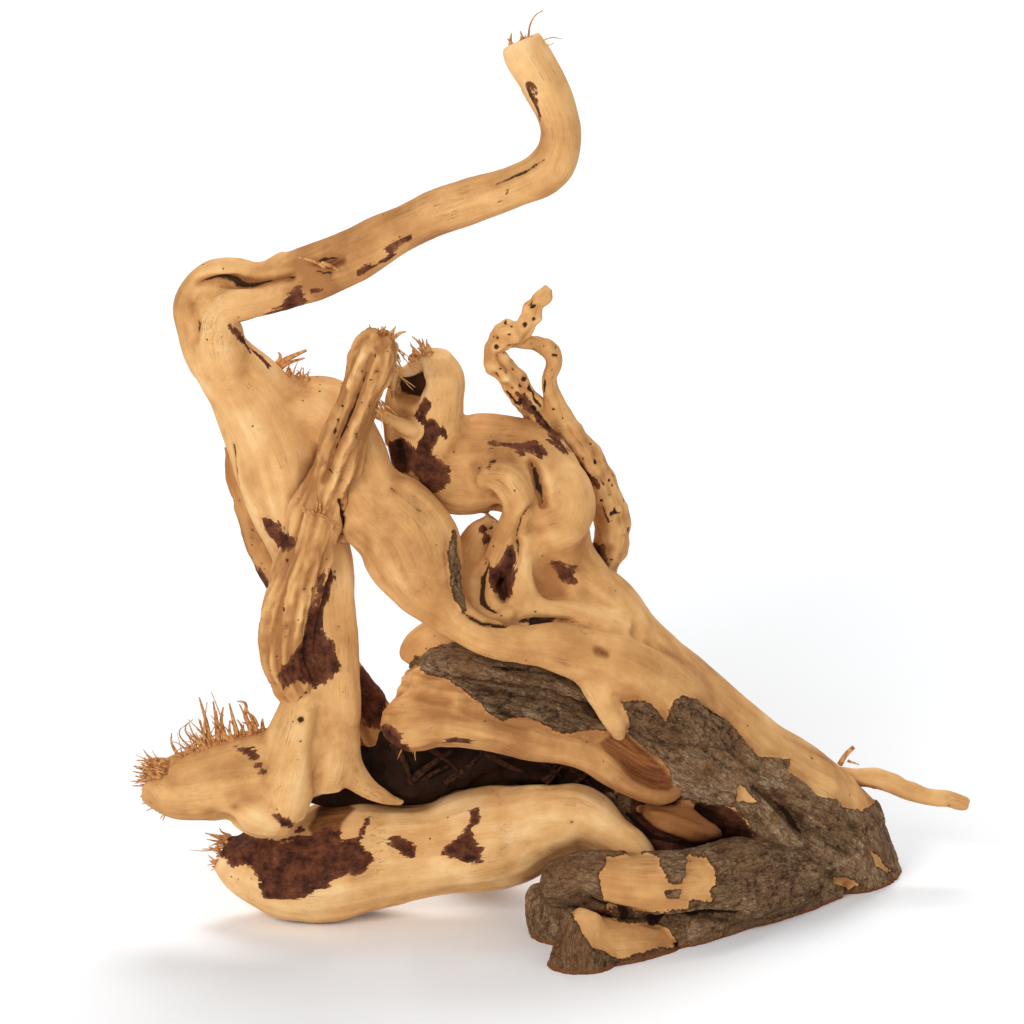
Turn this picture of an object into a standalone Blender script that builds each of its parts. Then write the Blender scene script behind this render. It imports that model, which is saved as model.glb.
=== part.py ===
"""A piece of driftwood: the sawn-off stump of a small tree with the tangle of roots that grew round it.

It is one solid. Each limb is laid out as a curve with its own thickness along its route. The stout limbs are
fused first and rounded into each other, then the slender ones are fused on, and the whole is trimmed flat where
the saw went through it. It stands on that cut and on the underside of its long root. The origin is at the
middle of its bounding box, on the ground.
"""

import math

import bmesh
import bpy

MM = 0.001
NAME = "driftwood"

# Routes are taken from a drawing made looking down on the wood by this much. Each point is (across, up, back,
# radius) in millimetres: across and up are its place on the drawing, back is its distance behind the front of
# the stump, measured level, and radius is half the limb's width there.
SIGHT = math.radians(18)

STOUT_VOXEL = 2.5 * MM
SLENDER_VOXEL = 2.0 * MM
STOUT_ROUNDING = 7
SLENDER_ROUNDING = 2
TRIANGLES = 9500
WOOD_COLOUR = (0.62, 0.40, 0.20, 1.0)
WOOD_ROUGHNESS = 0.75

# name: (depth as a share of width, route)
STOUT = {
    "crown_branch": (0.95, [
        (-140, 322, 35, 9), (-122, 327, 33, 13), (-100, 334, 30, 14), (-80, 342.3, 26, 13), (-60, 353, 21, 12.3),
        (-40, 362.5, 16, 12.4), (-20, 369, 11, 12), (0, 375.5, 6, 11), (19, 386, 3, 11.6), (24.5, 400, 3, 10.7),
        (23, 411, 4, 10.6), (19, 421, 7, 11.2), (14, 431, 10, 11.4), (8.5, 440, 13, 11.6), (4.5, 448, 15, 10),
    ]),
    "elbow_upper_strand": (0.9, [
        (-154, 290, 34, 9), (-159.5, 306, 34, 9), (-159, 320, 34, 9.5), (-152, 331, 34, 8), (-139, 335, 33, 6.5),
        (-126, 333, 32, 6.5), (-112, 337, 30, 8),
    ]),
    "elbow_lower_strand": (0.9, [
        (-144, 290, 33, 15), (-148, 305, 31, 13.5), (-144, 316, 29, 10), (-133, 320, 28, 9.5),
        (-120, 323, 28, 9.5), (-104, 330, 28, 11),
    ]),
    "left_trunk": (0.72, [
        (-155, 308, 35, 12), (-147, 294, 36, 16), (-130, 272, 36, 21.5), (-119.5, 250, 34, 25), (-111, 222, 31, 24),
        (-102, 195, 28, 20.5), (-97, 160, 22, 18.5), (-96, 130, 18, 19), (-96, 112, 16, 20), (-98, 92, 14, 20),
        (-100, 78, 14, 16),
    ]),
    "left_trunk_heel": (0.9, [
        (-104, 112, 12, 16), (-110, 90, 6, 16), (-113, 74, 2, 14), (-114, 60, 2, 11),
    ]),
    "left_trunk_toe": (0.9, [
        (-90, 104, 14, 14), (-84, 88, 14, 9.5), (-75, 77, 15, 6), (-61, 69.5, 18, 3.5),
    ]),
    "cut_root": (0.9, [
        (-183, 79, 12, 11), (-172, 76.5, 10, 15.5), (-155, 78, 8, 19), (-140, 80.5, 6, 23), (-124, 80, 4, 28),
        (-104, 88, 8, 26),
    ]),
    "knuckle": (0.9, [(-134, 70, 4, 16), (-124, 64, 2, 16), (-112, 64, 3, 13)]),
    "shoulder": (0.8, [
        (-122, 272, 36, 14), (-106, 266, 36, 16), (-92, 264, 34, 17), (-80, 248, 26, 15), (-72, 230, 20, 15),
        (-64, 214, 16, 18),
    ]),
    "front_limb": (0.95, [
        (-65, 303, 0, 7.5), (-68, 294, -1, 12), (-76, 273, 0, 11), (-85, 250, 3, 11.5), (-92, 230, 6, 10.5),
        (-97, 213, 7, 11.8), (-101, 198, 8, 11.6), (-107, 182, 9, 12.6), (-111.5, 165, 9, 13.8),
        (-113, 150, 9, 14), (-112, 138, 10, 12.5), (-106, 124, 12, 10),
    ]),
    "front_limb_flank": (0.9, [
        (-64, 288, 6, 5), (-74, 268, 9, 6), (-80, 250, 12, 8), (-83, 232, 14, 8.5), (-83, 214, 16, 7),
        (-86, 202, 18, 5),
    ]),
    "sweeping_plate": (0.6, [
        (-86, 238, 20, 18), (-71, 219, 17, 22), (-55, 205, 14, 25.5), (-47, 187, 10, 24), (-39, 172, 6, 16),
        (-27, 160, 1, 10.5), (-13, 152, -3, 9.5), (3, 148, -4, 10), (20, 146.5, -3, 12), (42, 140.5, 3, 16),
        (66, 126, 14, 19), (88, 108, 28, 20), (108, 90, 40, 20),
    ]),
    "recessed_strip": (0.8, [
        (-44, 133, 26, 10), (-28, 134, 22, 14), (-4, 126, 19, 15), (20, 121, 18, 15), (42, 112, 20, 15),
        (64, 104, 24, 14),
    ]),
    "jaw_root": (0.85, [
        (-54, 120, 22, 13), (-45, 119, 18, 21), (-28, 117, 13, 22), (-5, 114, 9, 19), (20, 110, 8, 18),
        (42, 100, 10, 16.5), (62, 87, 14, 16.5), (80, 82, 24, 14),
    ]),
    "rear_lobe": (0.9, [(-50, 137, 34, 9), (-44, 146, 34, 11.5), (-28, 150, 34, 11), (-6, 150, 32, 10)]),
    "dark_lobe": (0.9, [(-63, 84, 30, 11), (-50, 82, 32, 13.5), (-32, 85, 36, 13), (-10, 95, 38, 12)]),
    "ridge": (0.92, [
        (8, 190, 42, 18), (34, 166, 40, 25), (55, 139, 38, 27), (85, 109, 44, 29), (112, 84, 54, 31),
        (140, 65, 70, 33), (158, 50, 86, 30),
    ]),
    "stump_front": (0.85, [
        (66, 110, 28, 20), (84, 94, 30, 22), (106, 80, 36, 20), (126, 62, 48, 23), (150, 48, 70, 25),
        (167, 38, 92, 23),
    ]),
    "stump_right": (0.95, [(148, 64, 74, 30), (161, 45, 88, 29), (169, 27, 101, 27), (170, 9, 112, 27)]),
    "stump_heart": (1.0, [(52, 66, 46, 18), (84, 48, 48, 24), (118, 38, 64, 26), (150, 28, 98, 26)]),
    "stump_sole": (0.9, [(80, 6, -8, 14), (100, 14, 16, 18), (124, 23, 44, 24), (148, 33, 74, 26)]),
    "band_root": (0.95, [
        (20, 27, -4, 10), (36, 29.5, -11, 13), (58, 26.5, -15, 15.5), (84, 26, -8, 15.5), (106, 28, 8, 17.5),
        (130, 29, 38, 19), (152, 31, 76, 18), (172, 36, 98, 13),
    ]),
    "band_root_underside": (0.9, [
        (20, 24, 3, 12), (24, 12, 3, 15), (31, 0, -2, 13.5), (46, 3, -8, 13),
    ]),
    "front_foot": (0.9, [
        (39, 13.5, -34, 7), (36, 5, -38, 11), (35, -7, -41, 14), (35, -20, -44, 15.5),
    ]),
    "front_foot_spur": (0.9, [
        (32, -3, -38, 13), (48, -3, -32, 13.5), (66, -2, -20, 12), (88, 3, -2, 8.5), (106, 6, 13, 7),
        (120, 7, 22, 4),
    ]),
    "front_foot_web": (0.9, [(40, 2, -14, 12), (60, 5, -2, 12), (84, 8, 14, 11), (110, 12, 34, 12)]),
    "long_root": (0.92, [
        (-146, 42, 34, 9), (-139, 39, 33, 15), (-124, 36.2, 31, 24), (-102, 36.1, 30, 29.7), (-80, 40, 31, 31),
        (-60, 42, 30, 27), (-40, 44, 30, 25), (-20, 48.5, 30, 28), (0, 51.5, 30, 27), (20, 57, 26, 21),
        (38, 58, 20, 17.5), (50, 51, 14, 13), (60, 44, 8, 10),
    ]),
    "crotch_roots": (0.95, [
        (-66, 104, 44, 13), (-60, 90, 46, 14), (-38, 84, 48, 13), (-12, 87, 48, 13), (15, 86, 48, 13),
        (44, 76, 46, 14), (66, 62, 46, 15),
    ]),
    "cavity_lobe": (0.9, [(72, 62, 18, 7), (84, 59, 15, 8.5), (96, 54, 20, 7)]),
    "rear_root": (0.95, [
        (66, 140, 56, 25), (42, 122, 66, 21), (16, 98, 78, 17), (-5, 74, 87, 14.5), (-15, 50, 91, 13.5),
        (-18, 32, 91, 15), (-20, 20, 91, 18),
    ]),
    "head": (0.9, [
        (-39, 294, 46, 9), (-39, 284, 46, 15.8), (-39, 268, 46, 15.5), (-42, 248, 46, 17),
    ]),
    "head_cheek": (0.9, [(-55, 288, 42, 3.5), (-59, 275, 41, 4), (-60, 262, 40, 5), (-58, 248, 41, 6)]),
    "throat": (0.76, [
        (-47, 262, 46, 15), (-44, 246, 46, 18.5), (-30, 237.5, 46, 24.5), (-10, 238.5, 45, 24), (7, 235, 44, 24),
        (16, 222, 43, 21.5), (19, 205, 42, 19), (22, 190, 42, 20), (32, 172, 40, 22),
    ]),
    "throat_inner_strand": (0.9, [
        (-14, 232, 31, 8), (-1, 227, 27, 9), (3, 214, 25, 8), (-2, 203, 25, 7), (-8, 191, 25, 6.5),
        (-13, 179, 25, 6), (-12, 168, 23, 6), (-3, 160, 18, 5.5),
    ]),
    "throat_outer_strand": (0.9, [
        (28, 226, 36, 12), (27, 210, 31, 12.5), (14, 203, 27, 11.5), (8, 191, 25, 10), (6, 178, 23, 9.5),
        (11, 167, 19, 8.5), (30, 162, 17, 9), (56, 151, 20, 10),
    ]),
    "throat_back_strand": (0.9, [(-10, 206, 46, 9), (-6, 190, 44, 12), (-4, 176, 38, 13), (2, 163, 30, 12)]),
    "arched_strand": (0.9, [
        (-6, 208, 42, 7), (-16, 200, 39, 9.5), (-21, 187, 34, 9), (-20, 174, 28, 8.5), (-13, 164, 20, 7.5),
        (2, 160, 12, 6.5),
    ]),
}

SLENDER = {
    "rear_limb": (0.9, [
        (-141, 247, 60, 3), (-138, 236, 60, 6.2), (-131, 217, 58, 8), (-124, 198, 56, 8.5), (-114, 178, 52, 9),
        (-103, 157, 48, 9.5), (-92, 142, 48, 10), (-82, 128, 48, 10), (-72, 114, 46, 12), (-66, 100, 45, 14),
    ]),
    "knobbly_twig": (0.95, [
        (15.5, 326, 48, 3), (13, 323, 48, 4.5), (10, 317, 48, 5.2), (8.5, 309, 48, 5.2), (4, 303, 49, 4.8),
        (-2, 303.5, 49, 6), (-7.5, 299, 50, 4), (-9, 291, 51, 4.2), (-5, 286, 52, 5.4), (1, 279, 53, 5.6),
        (9, 268, 55, 6), (17, 257, 57, 6.2), (25, 246, 59, 6.4), (33, 234, 60, 6), (38, 226, 61, 4),
    ]),
    "looped_twig": (0.95, [
        (-3, 301, 50, 4), (6, 299, 52, 3.4), (14, 298, 54, 3.4), (19, 295, 55, 4), (20.5, 289, 56, 4),
        (19, 281, 57, 4), (21, 271, 58, 5), (26, 260, 59, 6), (34, 248, 61, 7.2), (42, 234, 62, 8.2),
        (48, 220, 63, 8.6), (51, 206, 63, 9), (49.5, 195, 62, 9), (45, 185, 60, 9), (38, 176, 54, 9),
    ]),
    "side_twig": (0.95, [
        (162, 80, 86, 5), (176, 79.5, 90, 4.5), (188, 78, 92, 4.9), (199, 73.5, 92, 4.6), (211, 69.5, 90, 4.1),
        (222, 68, 89, 4), (229, 66, 88, 3.6), (231.5, 65.5, 88, 2.4),
    ]),
    "bridge_twig": (0.95, [(-76, 268, 10, 4), (-68, 264, 18, 3.6), (-58, 259, 28, 3.6), (-49, 255, 34, 5)]),
}


def on_drawing(across, up, back):
    """Where a point of the drawing lies in the drawing's own frame: across, up and out towards the viewer."""
    out = (up * math.sin(SIGHT) - back) / math.cos(SIGHT)
    return across * MM, up * MM, out * MM


def add_limb(name, flatness, route):
    """A limb as a curve through its route. Its section is an ellipse, as deep as its width times flatness."""
    curve = bpy.data.curves.new(name, "CURVE")
    curve.dimensions = "3D"
    curve.bevel_depth = MM
    curve.bevel_resolution = 3
    curve.resolution_u = 6
    curve.use_fill_caps = True
    spline = curve.splines.new("BEZIER")
    spline.radius_interpolation = "CARDINAL"
    spline.bezier_points.add(len(route) - 1)
    for point, (across, up, back, radius) in zip(spline.bezier_points, route):
        x, y, z = on_drawing(across, up, back)
        point.co = x, y, z / flatness
        point.radius = radius
        point.handle_left_type = point.handle_right_type = "AUTO"
    limb = bpy.data.objects.new(name, curve)
    limb.rotation_euler.x = math.pi / 2 - SIGHT
    limb.scale.z = flatness
    bpy.context.scene.collection.objects.link(limb)
    return limb


def evaluated_mesh(thing, name):
    """The object as its modifiers leave it, as a new mesh in world space."""
    bpy.context.view_layer.update()
    graph = bpy.context.evaluated_depsgraph_get()
    mesh = bpy.data.meshes.new_from_object(thing.evaluated_get(graph))
    mesh.transform(thing.matrix_world)
    mesh.name = name
    return mesh


def gather(name, things):
    """One mesh object holding the closed skins of all the things, which are removed."""
    shape = bmesh.new()
    for thing in things:
        mesh = evaluated_mesh(thing, thing.name)
        shape.from_mesh(mesh)
        bpy.data.objects.remove(thing)
    bmesh.ops.remove_doubles(shape, verts=shape.verts, dist=0.01 * MM)
    mesh = bpy.data.meshes.new(name)
    shape.to_mesh(mesh)
    shape.free()
    gathered = bpy.data.objects.new(name, mesh)
    bpy.context.scene.collection.objects.link(gathered)
    return gathered


def fuse(thing, voxel, rounding):
    """Melts overlapping skins into one and softens the creases where limbs meet."""
    remesh = thing.modifiers.new("fuse", "REMESH")
    remesh.mode = "VOXEL"
    remesh.voxel_size = voxel
    smooth = thing.modifiers.new("round", "SMOOTH")
    smooth.factor = 0.5
    smooth.iterations = rounding
    mesh = evaluated_mesh(thing, thing.name)
    thing.modifiers.clear()
    thing.data = mesh
    return thing


def keep_outer_skin(mesh):
    """Deletes every shell but the largest, so that no pocket stays sealed inside the wood."""
    shape = bmesh.new()
    shape.from_mesh(mesh)
    left = set(shape.verts)
    shells = []
    while left:
        shell = []
        front = [left.pop()]
        while front:
            vert = front.pop()
            shell.append(vert)
            near = {edge.other_vert(vert) for edge in vert.link_edges} & left
            left -= near
            front += near
        shells.append(shell)
    shells.sort(key=len)
    for shell in shells[:-1]:
        bmesh.ops.delete(shape, geom=shell, context="VERTS")
    shape.to_mesh(mesh)
    shape.free()


def add_hollow(name, across, up, back, radii):
    """An egg-shaped cutter."""
    bpy.ops.mesh.primitive_uv_sphere_add(segments=20, ring_count=12, radius=MM)
    cutter = bpy.context.object
    cutter.name = name
    x, y, z = on_drawing(across, up, back)
    turn = math.pi / 2 - SIGHT
    cutter.location = x, y * math.cos(turn) - z * math.sin(turn), y * math.sin(turn) + z * math.cos(turn)
    cutter.rotation_euler.x = turn
    cutter.scale = radii
    return cutter


def add_ground():
    """A slab below the ground, which trims the wood flat."""
    bpy.ops.mesh.primitive_cube_add(size=1, location=(0, 0.05, -0.1))
    ground = bpy.context.object
    ground.name = "saw_plane"
    ground.scale = 1, 1, 0.2
    return ground


def cut(thing, cutter):
    """Takes the cutter's shape out of the thing."""
    cutter.hide_render = True
    cutter.display_type = "WIRE"
    boolean = thing.modifiers.new(cutter.name, "BOOLEAN")
    boolean.operation = "DIFFERENCE"
    boolean.object = cutter


def move_to_collection(name, things):
    """Puts the things in a collection of their own."""
    collection = bpy.data.collections.new(name)
    bpy.context.scene.collection.children.link(collection)
    for thing in things:
        for home in thing.users_collection:
            home.objects.unlink(thing)
        collection.objects.link(thing)


def centre_on_ground(wood, cutters):
    """Hangs everything on an empty that brings the middle of the wood's underside to the origin."""
    mesh = evaluated_mesh(wood, "measured")
    anchor = bpy.data.objects.new("anchor", None)
    for axis in (0, 1):
        places = [vert.co[axis] for vert in mesh.vertices]
        anchor.location[axis] = -(min(places) + max(places)) / 2
    bpy.data.meshes.remove(mesh)
    for thing in (wood, *cutters):
        thing.parent = anchor
    return anchor


def wood_material():
    """Bare weathered wood."""
    material = bpy.data.materials.new("bare_wood")
    material.use_nodes = True
    shader = material.node_tree.nodes["Principled BSDF"]
    shader.inputs["Base Color"].default_value = WOOD_COLOUR
    shader.inputs["Roughness"].default_value = WOOD_ROUGHNESS
    return material


def build():
    """Grows, fuses and trims the wood."""
    for thing in list(bpy.data.objects):
        bpy.data.objects.remove(thing)

    wood = gather(NAME, [add_limb(name, *limb) for name, limb in STOUT.items()])
    fuse(wood, STOUT_VOXEL, STOUT_ROUNDING)
    twigs = [add_limb(name, *limb) for name, limb in SLENDER.items()]
    wood = gather(NAME, [wood, *twigs])
    fuse(wood, SLENDER_VOXEL, SLENDER_ROUNDING)
    keep_outer_skin(wood.data)
    wood.name = NAME

    thin = wood.modifiers.new("thin", "DECIMATE")
    thin.ratio = TRIANGLES / (2 * len(wood.data.polygons))

    cutters = [add_ground(), add_hollow("hollow", -50, 279, 32, (7.5, 9.5, 15))]
    for cutter in cutters:
        cut(wood, cutter)

    wood.data.materials.clear()
    wood.data.materials.append(wood_material())
    wood.data.shade_smooth()
    anchor = centre_on_ground(wood, cutters)
    move_to_collection(NAME, [wood, anchor])
    move_to_collection("cutters", cutters)


build()
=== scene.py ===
"""The looks of a piece of driftwood: a tangle of bare twisted roots on a sawn stump that still carries its bark.

Every limb is a curve with its own thickness. Limbs that grew together are fused into one root mass, whose
surface is then fluted along the grain, cracked, pitted and raised where bark is left. Frayed fibres and
splinters are pieces of their own.
"""
import logging
import math
import random
from dataclasses import dataclass, field
from enum import Enum
from typing import Iterable, Optional, Sequence

import bmesh
import bpy
import numpy as np
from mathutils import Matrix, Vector
from mathutils.bvhtree import BVHTree


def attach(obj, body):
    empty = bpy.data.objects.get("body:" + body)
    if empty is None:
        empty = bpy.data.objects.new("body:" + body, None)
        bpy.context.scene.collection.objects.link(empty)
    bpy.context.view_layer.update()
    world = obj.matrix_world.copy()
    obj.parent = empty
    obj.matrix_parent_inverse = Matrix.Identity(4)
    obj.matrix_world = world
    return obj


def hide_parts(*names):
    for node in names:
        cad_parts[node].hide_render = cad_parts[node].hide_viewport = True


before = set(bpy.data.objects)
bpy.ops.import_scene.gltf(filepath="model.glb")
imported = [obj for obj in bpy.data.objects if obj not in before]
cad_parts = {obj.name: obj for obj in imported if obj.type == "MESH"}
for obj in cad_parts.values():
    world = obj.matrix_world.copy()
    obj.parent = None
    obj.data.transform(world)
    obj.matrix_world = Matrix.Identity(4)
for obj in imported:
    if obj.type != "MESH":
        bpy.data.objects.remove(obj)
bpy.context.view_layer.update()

log = logging.getLogger("driftwood")

MM = 0.001
NODE = "driftwood"
BODY = "root"

# Routes are taken from a drawing made looking down on the wood by this much. A place on it is given as across,
# up and back in millimetres, where back is the distance behind the front of the stump, measured level.
SIGHT = math.radians(18)
# Where the drawing's zero lies in the frame, in millimetres.
ANCHOR = np.array([-23.2263, -36.033, 0.0])
# The way out of the drawing, in the frame, and a distance out from which nothing is missed.
OUTWARD = np.array([0, -math.cos(SIGHT), math.sin(SIGHT)])
FAR_OUT = 900.0

# Primes that scatter the lattice's corners.
CORNER_PRIMES = (73856093, 19349663, 83492791, 2654435761)
# How far apart along the grain two limbs' patterns lie, so that no two limbs look the same.
GRAIN_SHIFT = 131.7
# What a vertex scores when it is surely barked or stained, and how dark the shade painted on the shaded limbs and
# inside the shade outlines is.
SURE = 6.0
LIMB_SHADE = 0.76
OUTLINE_SHADE = 0.46
# How far rays look out of a hollow, in millimetres, where they start, and how far off a wall stops counting.
RAY_REACH = 34.0
RAY_START = 0.6
RAY_FADE = 40.0
# How glossy dry wood is.
WOOD_GLOSS = 0.12

RoutePoint = tuple[float, float, float, float]
Spot = tuple[float, float, float]


def to_drawing(points: np.ndarray) -> np.ndarray:
    """Turns frame positions into drawing positions.

    Args:
        points: Positions in the frame, in millimetres, one row each.

    Returns:
        The same places as across, up and out towards the viewer.
    """
    x, y, z = (points - ANCHOR).T
    up = z * math.cos(SIGHT) + y * math.sin(SIGHT)
    out = z * math.sin(SIGHT) - y * math.cos(SIGHT)
    return np.stack([x, up, out], axis=1)


def from_drawing(points: np.ndarray) -> np.ndarray:
    """Turns drawing positions into frame positions.

    Args:
        points: Across, up and out towards the viewer, in millimetres, one row each.

    Returns:
        The same places in the frame, in millimetres.
    """
    across, up, out = points.T
    y = up * math.sin(SIGHT) - out * math.cos(SIGHT)
    z = up * math.cos(SIGHT) + out * math.sin(SIGHT)
    return np.stack([across, y, z], axis=1) + ANCHOR


def out_of_page(up: float, back: float) -> float:
    """How far out of the drawing a place lies, from its height on it and its level distance back."""
    return (up * math.sin(SIGHT) - back) / math.cos(SIGHT)


def smooth_step(value: np.ndarray, low: float, high: float) -> np.ndarray:
    """Rises smoothly from 0 at low to 1 at high."""
    t = np.clip((value - low) / (high - low), 0.0, 1.0)
    return t * t * (3 - 2 * t)


def lattice_noise(points: np.ndarray, seed: int = 0) -> np.ndarray:
    """Smooth random values in space.

    Args:
        points: Positions, one row each, where features are about one unit across.
        seed: Picks a different pattern.

    Returns:
        A value from -1 to 1 for each position.
    """
    cell = np.floor(points).astype(np.int64)
    part = points - cell
    part = part * part * (3 - 2 * part)
    total = np.zeros(len(points))
    first, second, third, last = CORNER_PRIMES
    for corner in np.ndindex(2, 2, 2):
        place = cell + corner
        mixed = place[:, 0] * first ^ place[:, 1] * second ^ place[:, 2] * third ^ (seed * last)
        mixed = (mixed ^ (mixed >> 13)) * 1274126177 & 0xFFFFFFFF
        mixed = (mixed ^ (mixed >> 16)) * 2246822519 & 0xFFFFFFFF
        value = (mixed >> 8 & 0xFFFF) / 32767.5 - 1
        share = np.ones(len(points))
        for axis in range(3):
            share *= part[:, axis] if corner[axis] else 1 - part[:, axis]
        total += share * value
    return total


def layered_noise(points: np.ndarray, seed: int = 0, layers: int = 3) -> np.ndarray:
    """Lattice noise with finer and finer layers added.

    Args:
        points: Positions, one row each, where the largest features are about one unit across.
        seed: Picks a different pattern.
        layers: How many layers there are, each half as strong as the one before.

    Returns:
        A value for each position.
    """
    total = np.zeros(len(points))
    for layer in range(layers):
        total += lattice_noise(points * 2.03**layer + 17.3 * layer, seed + layer) * 0.5**layer
    return total


def srgb(red: int, green: int, blue: int) -> tuple[float, float, float, float]:
    """A given colour, as the linear values a shader takes."""
    def linear(level: int) -> float:
        """One channel, from 0 to 255, as light."""
        share = level / 255
        return share / 12.92 if share <= 0.04045 else ((share + 0.055) / 1.055) ** 2.4
    return linear(red), linear(green), linear(blue), 1.0


def add_object(name: str, data: bpy.types.ID) -> bpy.types.Object:
    """Puts a mesh, curve, light or camera into the scene.

    Args:
        name: The object's name.
        data: What it shows.

    Returns:
        The new object.
    """
    thing = bpy.data.objects.new(name, data)
    bpy.context.scene.collection.objects.link(thing)
    return thing


def round_curve(name: str, sides: int, steps: int, count: int) -> tuple[bpy.types.Curve, bpy.types.Spline]:
    """Starts a round rod that follows a curve.

    Args:
        name: The curve's name.
        sides: How finely it is rounded.
        steps: How many steps it takes between two points.
        count: How many points it has.

    Returns:
        The curve and its spline.
    """
    curve = bpy.data.curves.new(name, "CURVE")
    curve.dimensions = "3D"
    curve.bevel_depth = MM
    curve.bevel_resolution = sides
    curve.resolution_u = steps
    curve.use_fill_caps = True
    spline = curve.splines.new("BEZIER")
    spline.bezier_points.add(count - 1)
    return curve, spline


def dress(piece: bpy.types.Object, material: bpy.types.Material) -> None:
    """Gives a finished piece its material and fixes it to the frame.

    Args:
        piece: The piece.
        material: Its one material.
    """
    piece.data.materials.clear()
    piece.data.materials.append(material)
    piece.data.shade_smooth()
    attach(piece, BODY)
    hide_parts(NODE)


@dataclass
class Limb:
    """One root or branch, elliptical in section, along a route through the drawing.

    Attributes:
        name: What it is called.
        flatness: Its depth as a share of its width.
        route: Points of across, up, back and half width.
        flutes: How deep its lengthwise hollows are, as a share of its radius.
        start: Distance along the grain at its first point, where it carries on another limb's.
        ribs: How high the ridges between its fibres stand, in millimetres.
        knobs: How high its lumps stand, in millimetres.
        weather: How grey it has gone, from 0 to 1, or how rusty, below 0.
        tone: How much paler than the rest its wood is, or darker, below 0, which is partly its own colour and partly
            painted light and shade.
        holes: How riddled with worm holes it is, from 0 to 1.
        fade: How much paler its far end is than its near one.
    """

    name: str
    flatness: float
    route: list[RoutePoint]
    flutes: float = 0.11
    start: float = 0.0
    ribs: float = 0.10
    knobs: float = 0.12
    weather: float = 0.0
    tone: float = 0.0
    holes: float = 0.0
    fade: float = 0.0

    def control_points(self) -> np.ndarray:
        """The route in the drawing's own frame, with the depth stretched so that the section is round."""
        rows = [(a, u, out_of_page(u, b) / self.flatness, r) for a, u, b, r in self.route]
        return np.array(rows)

    def add_curve(self) -> bpy.types.Object:
        """Adds the limb as a beveled curve.

        Returns:
            The curve object, turned and scaled into place.
        """
        points = self.control_points()
        curve, spline = round_curve(self.name, 7, 10, len(points))
        spline.radius_interpolation = "CARDINAL"
        for knot, (across, up, out, radius) in zip(spline.bezier_points, points):
            knot.co = across * MM, up * MM, out * MM
            knot.radius = radius
            knot.handle_left_type = knot.handle_right_type = "AUTO"
        limb = add_object(self.name, curve)
        limb.location = ANCHOR * MM
        limb.rotation_euler.x = math.pi / 2 - SIGHT
        limb.scale.z = self.flatness
        return limb

    def samples(self, step: float = 3.0) -> dict[str, np.ndarray]:
        """Places along the limb's middle line.

        Args:
            step: About how far apart they are, in millimetres.

        Returns:
            Arrays of centre, radius, distance along, and the two directions across the limb.
        """
        points = self.control_points()
        padded = np.vstack([2 * points[0] - points[1], points, 2 * points[-1] - points[-2]])
        rows = []
        for before, here, there, after in zip(padded, padded[1:], padded[2:], padded[3:]):
            count = max(2, int(np.linalg.norm(there[:3] - here[:3]) / step))
            for t in np.arange(count) / count:
                rows.append(0.5 * (2 * here + (there - before) * t
                                   + (2 * before - 5 * here + 4 * there - after) * t**2
                                   + (3 * here - before - 3 * there + after) * t**3))
        rows.append(points[-1])
        line = np.array(rows)
        centre, radius = line[:, :3], np.maximum(line[:, 3], 1.0)
        tangent = np.gradient(centre, axis=0)
        tangent /= np.linalg.norm(tangent, axis=1)[:, None]
        side = np.zeros_like(centre)
        reach = np.cross(tangent[0], (0.0, 0.0, 1.0))
        for index, direction in enumerate(tangent):
            reach = reach - direction * reach.dot(direction)
            reach /= max(np.linalg.norm(reach), 1e-6)
            side[index] = reach
        along = self.start + np.concatenate([[0], np.cumsum(np.linalg.norm(np.diff(centre, axis=0), axis=1))])
        return {"centre": centre, "radius": radius, "along": along, "tangent": tangent, "side": side,
                "rise": np.cross(tangent, side)}


class Mark(Enum):
    """What a stroke leaves on the wood."""

    STAIN = "stain_and_shade"
    BARK = "bark"
    BARE = "bare"
    CRACK = "crack"
    GROOVE = "groove"
    HOLLOW = "hollow"
    PIT = "pit"
    KNOT = "knot"
    # Rust colour, used also for warm painted shade.
    RUST_AND_SHADE = "rust_and_shade"
    RIDGE = "ridge"
    # Painted shade: darkens the wood where shade falls.
    SHADE = "shade"


@dataclass(frozen=True)
class Stroke:
    """A mark drawn on the visible side, which wraps round the wood where it is wide.

    Attributes:
        mark: What it leaves.
        spots: Places of across, up and half width, joined in order.
        depth: How deep a crack or pit goes, in millimetres.
    """

    mark: Mark
    spots: list[Spot]
    depth: float = 0.0


@dataclass(frozen=True)
class Region:
    """An outline on the drawing inside which wood is barked, bare, stained or rusty.

    Attributes:
        mark: Mark.BARK or Mark.BARE, which go right round the wood, or Mark.STAIN, Mark.RUST_AND_SHADE or Mark.SHADE, which
            don't.
        outline: Corners of across and up.
        limbs: The limbs it holds for, or none for all.
        nearer_than: The furthest back that it reaches, in millimetres.
    """

    mark: Mark
    outline: list[tuple[float, float]]
    limbs: tuple[str, ...] = ()
    nearer_than: float = 1000.0


def inside_distance(places: np.ndarray, outline: Sequence[tuple[float, float]]) -> np.ndarray:
    """Signed distance to an outline.

    Args:
        places: Across and up, one row each.
        outline: The outline's corners.

    Returns:
        The distance in millimetres, positive inside.
    """
    corners = np.array(outline, float)
    nearest = np.full(len(places), 1e9)
    inside = np.zeros(len(places), bool)
    for start, end in zip(corners, np.roll(corners, -1, axis=0)):
        edge = end - start
        t = np.clip(((places - start) @ edge) / (edge @ edge), 0, 1)
        nearest = np.minimum(nearest, np.linalg.norm(places - (start + t[:, None] * edge), axis=1))
        crosses = (start[1] > places[:, 1]) != (end[1] > places[:, 1])
        rise = edge[1] if abs(edge[1]) > 1e-9 else 1e-9
        inside ^= crosses & (places[:, 0] < start[0] + (places[:, 1] - start[1]) * edge[0] / rise)
    return np.where(inside, nearest, -nearest)


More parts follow.
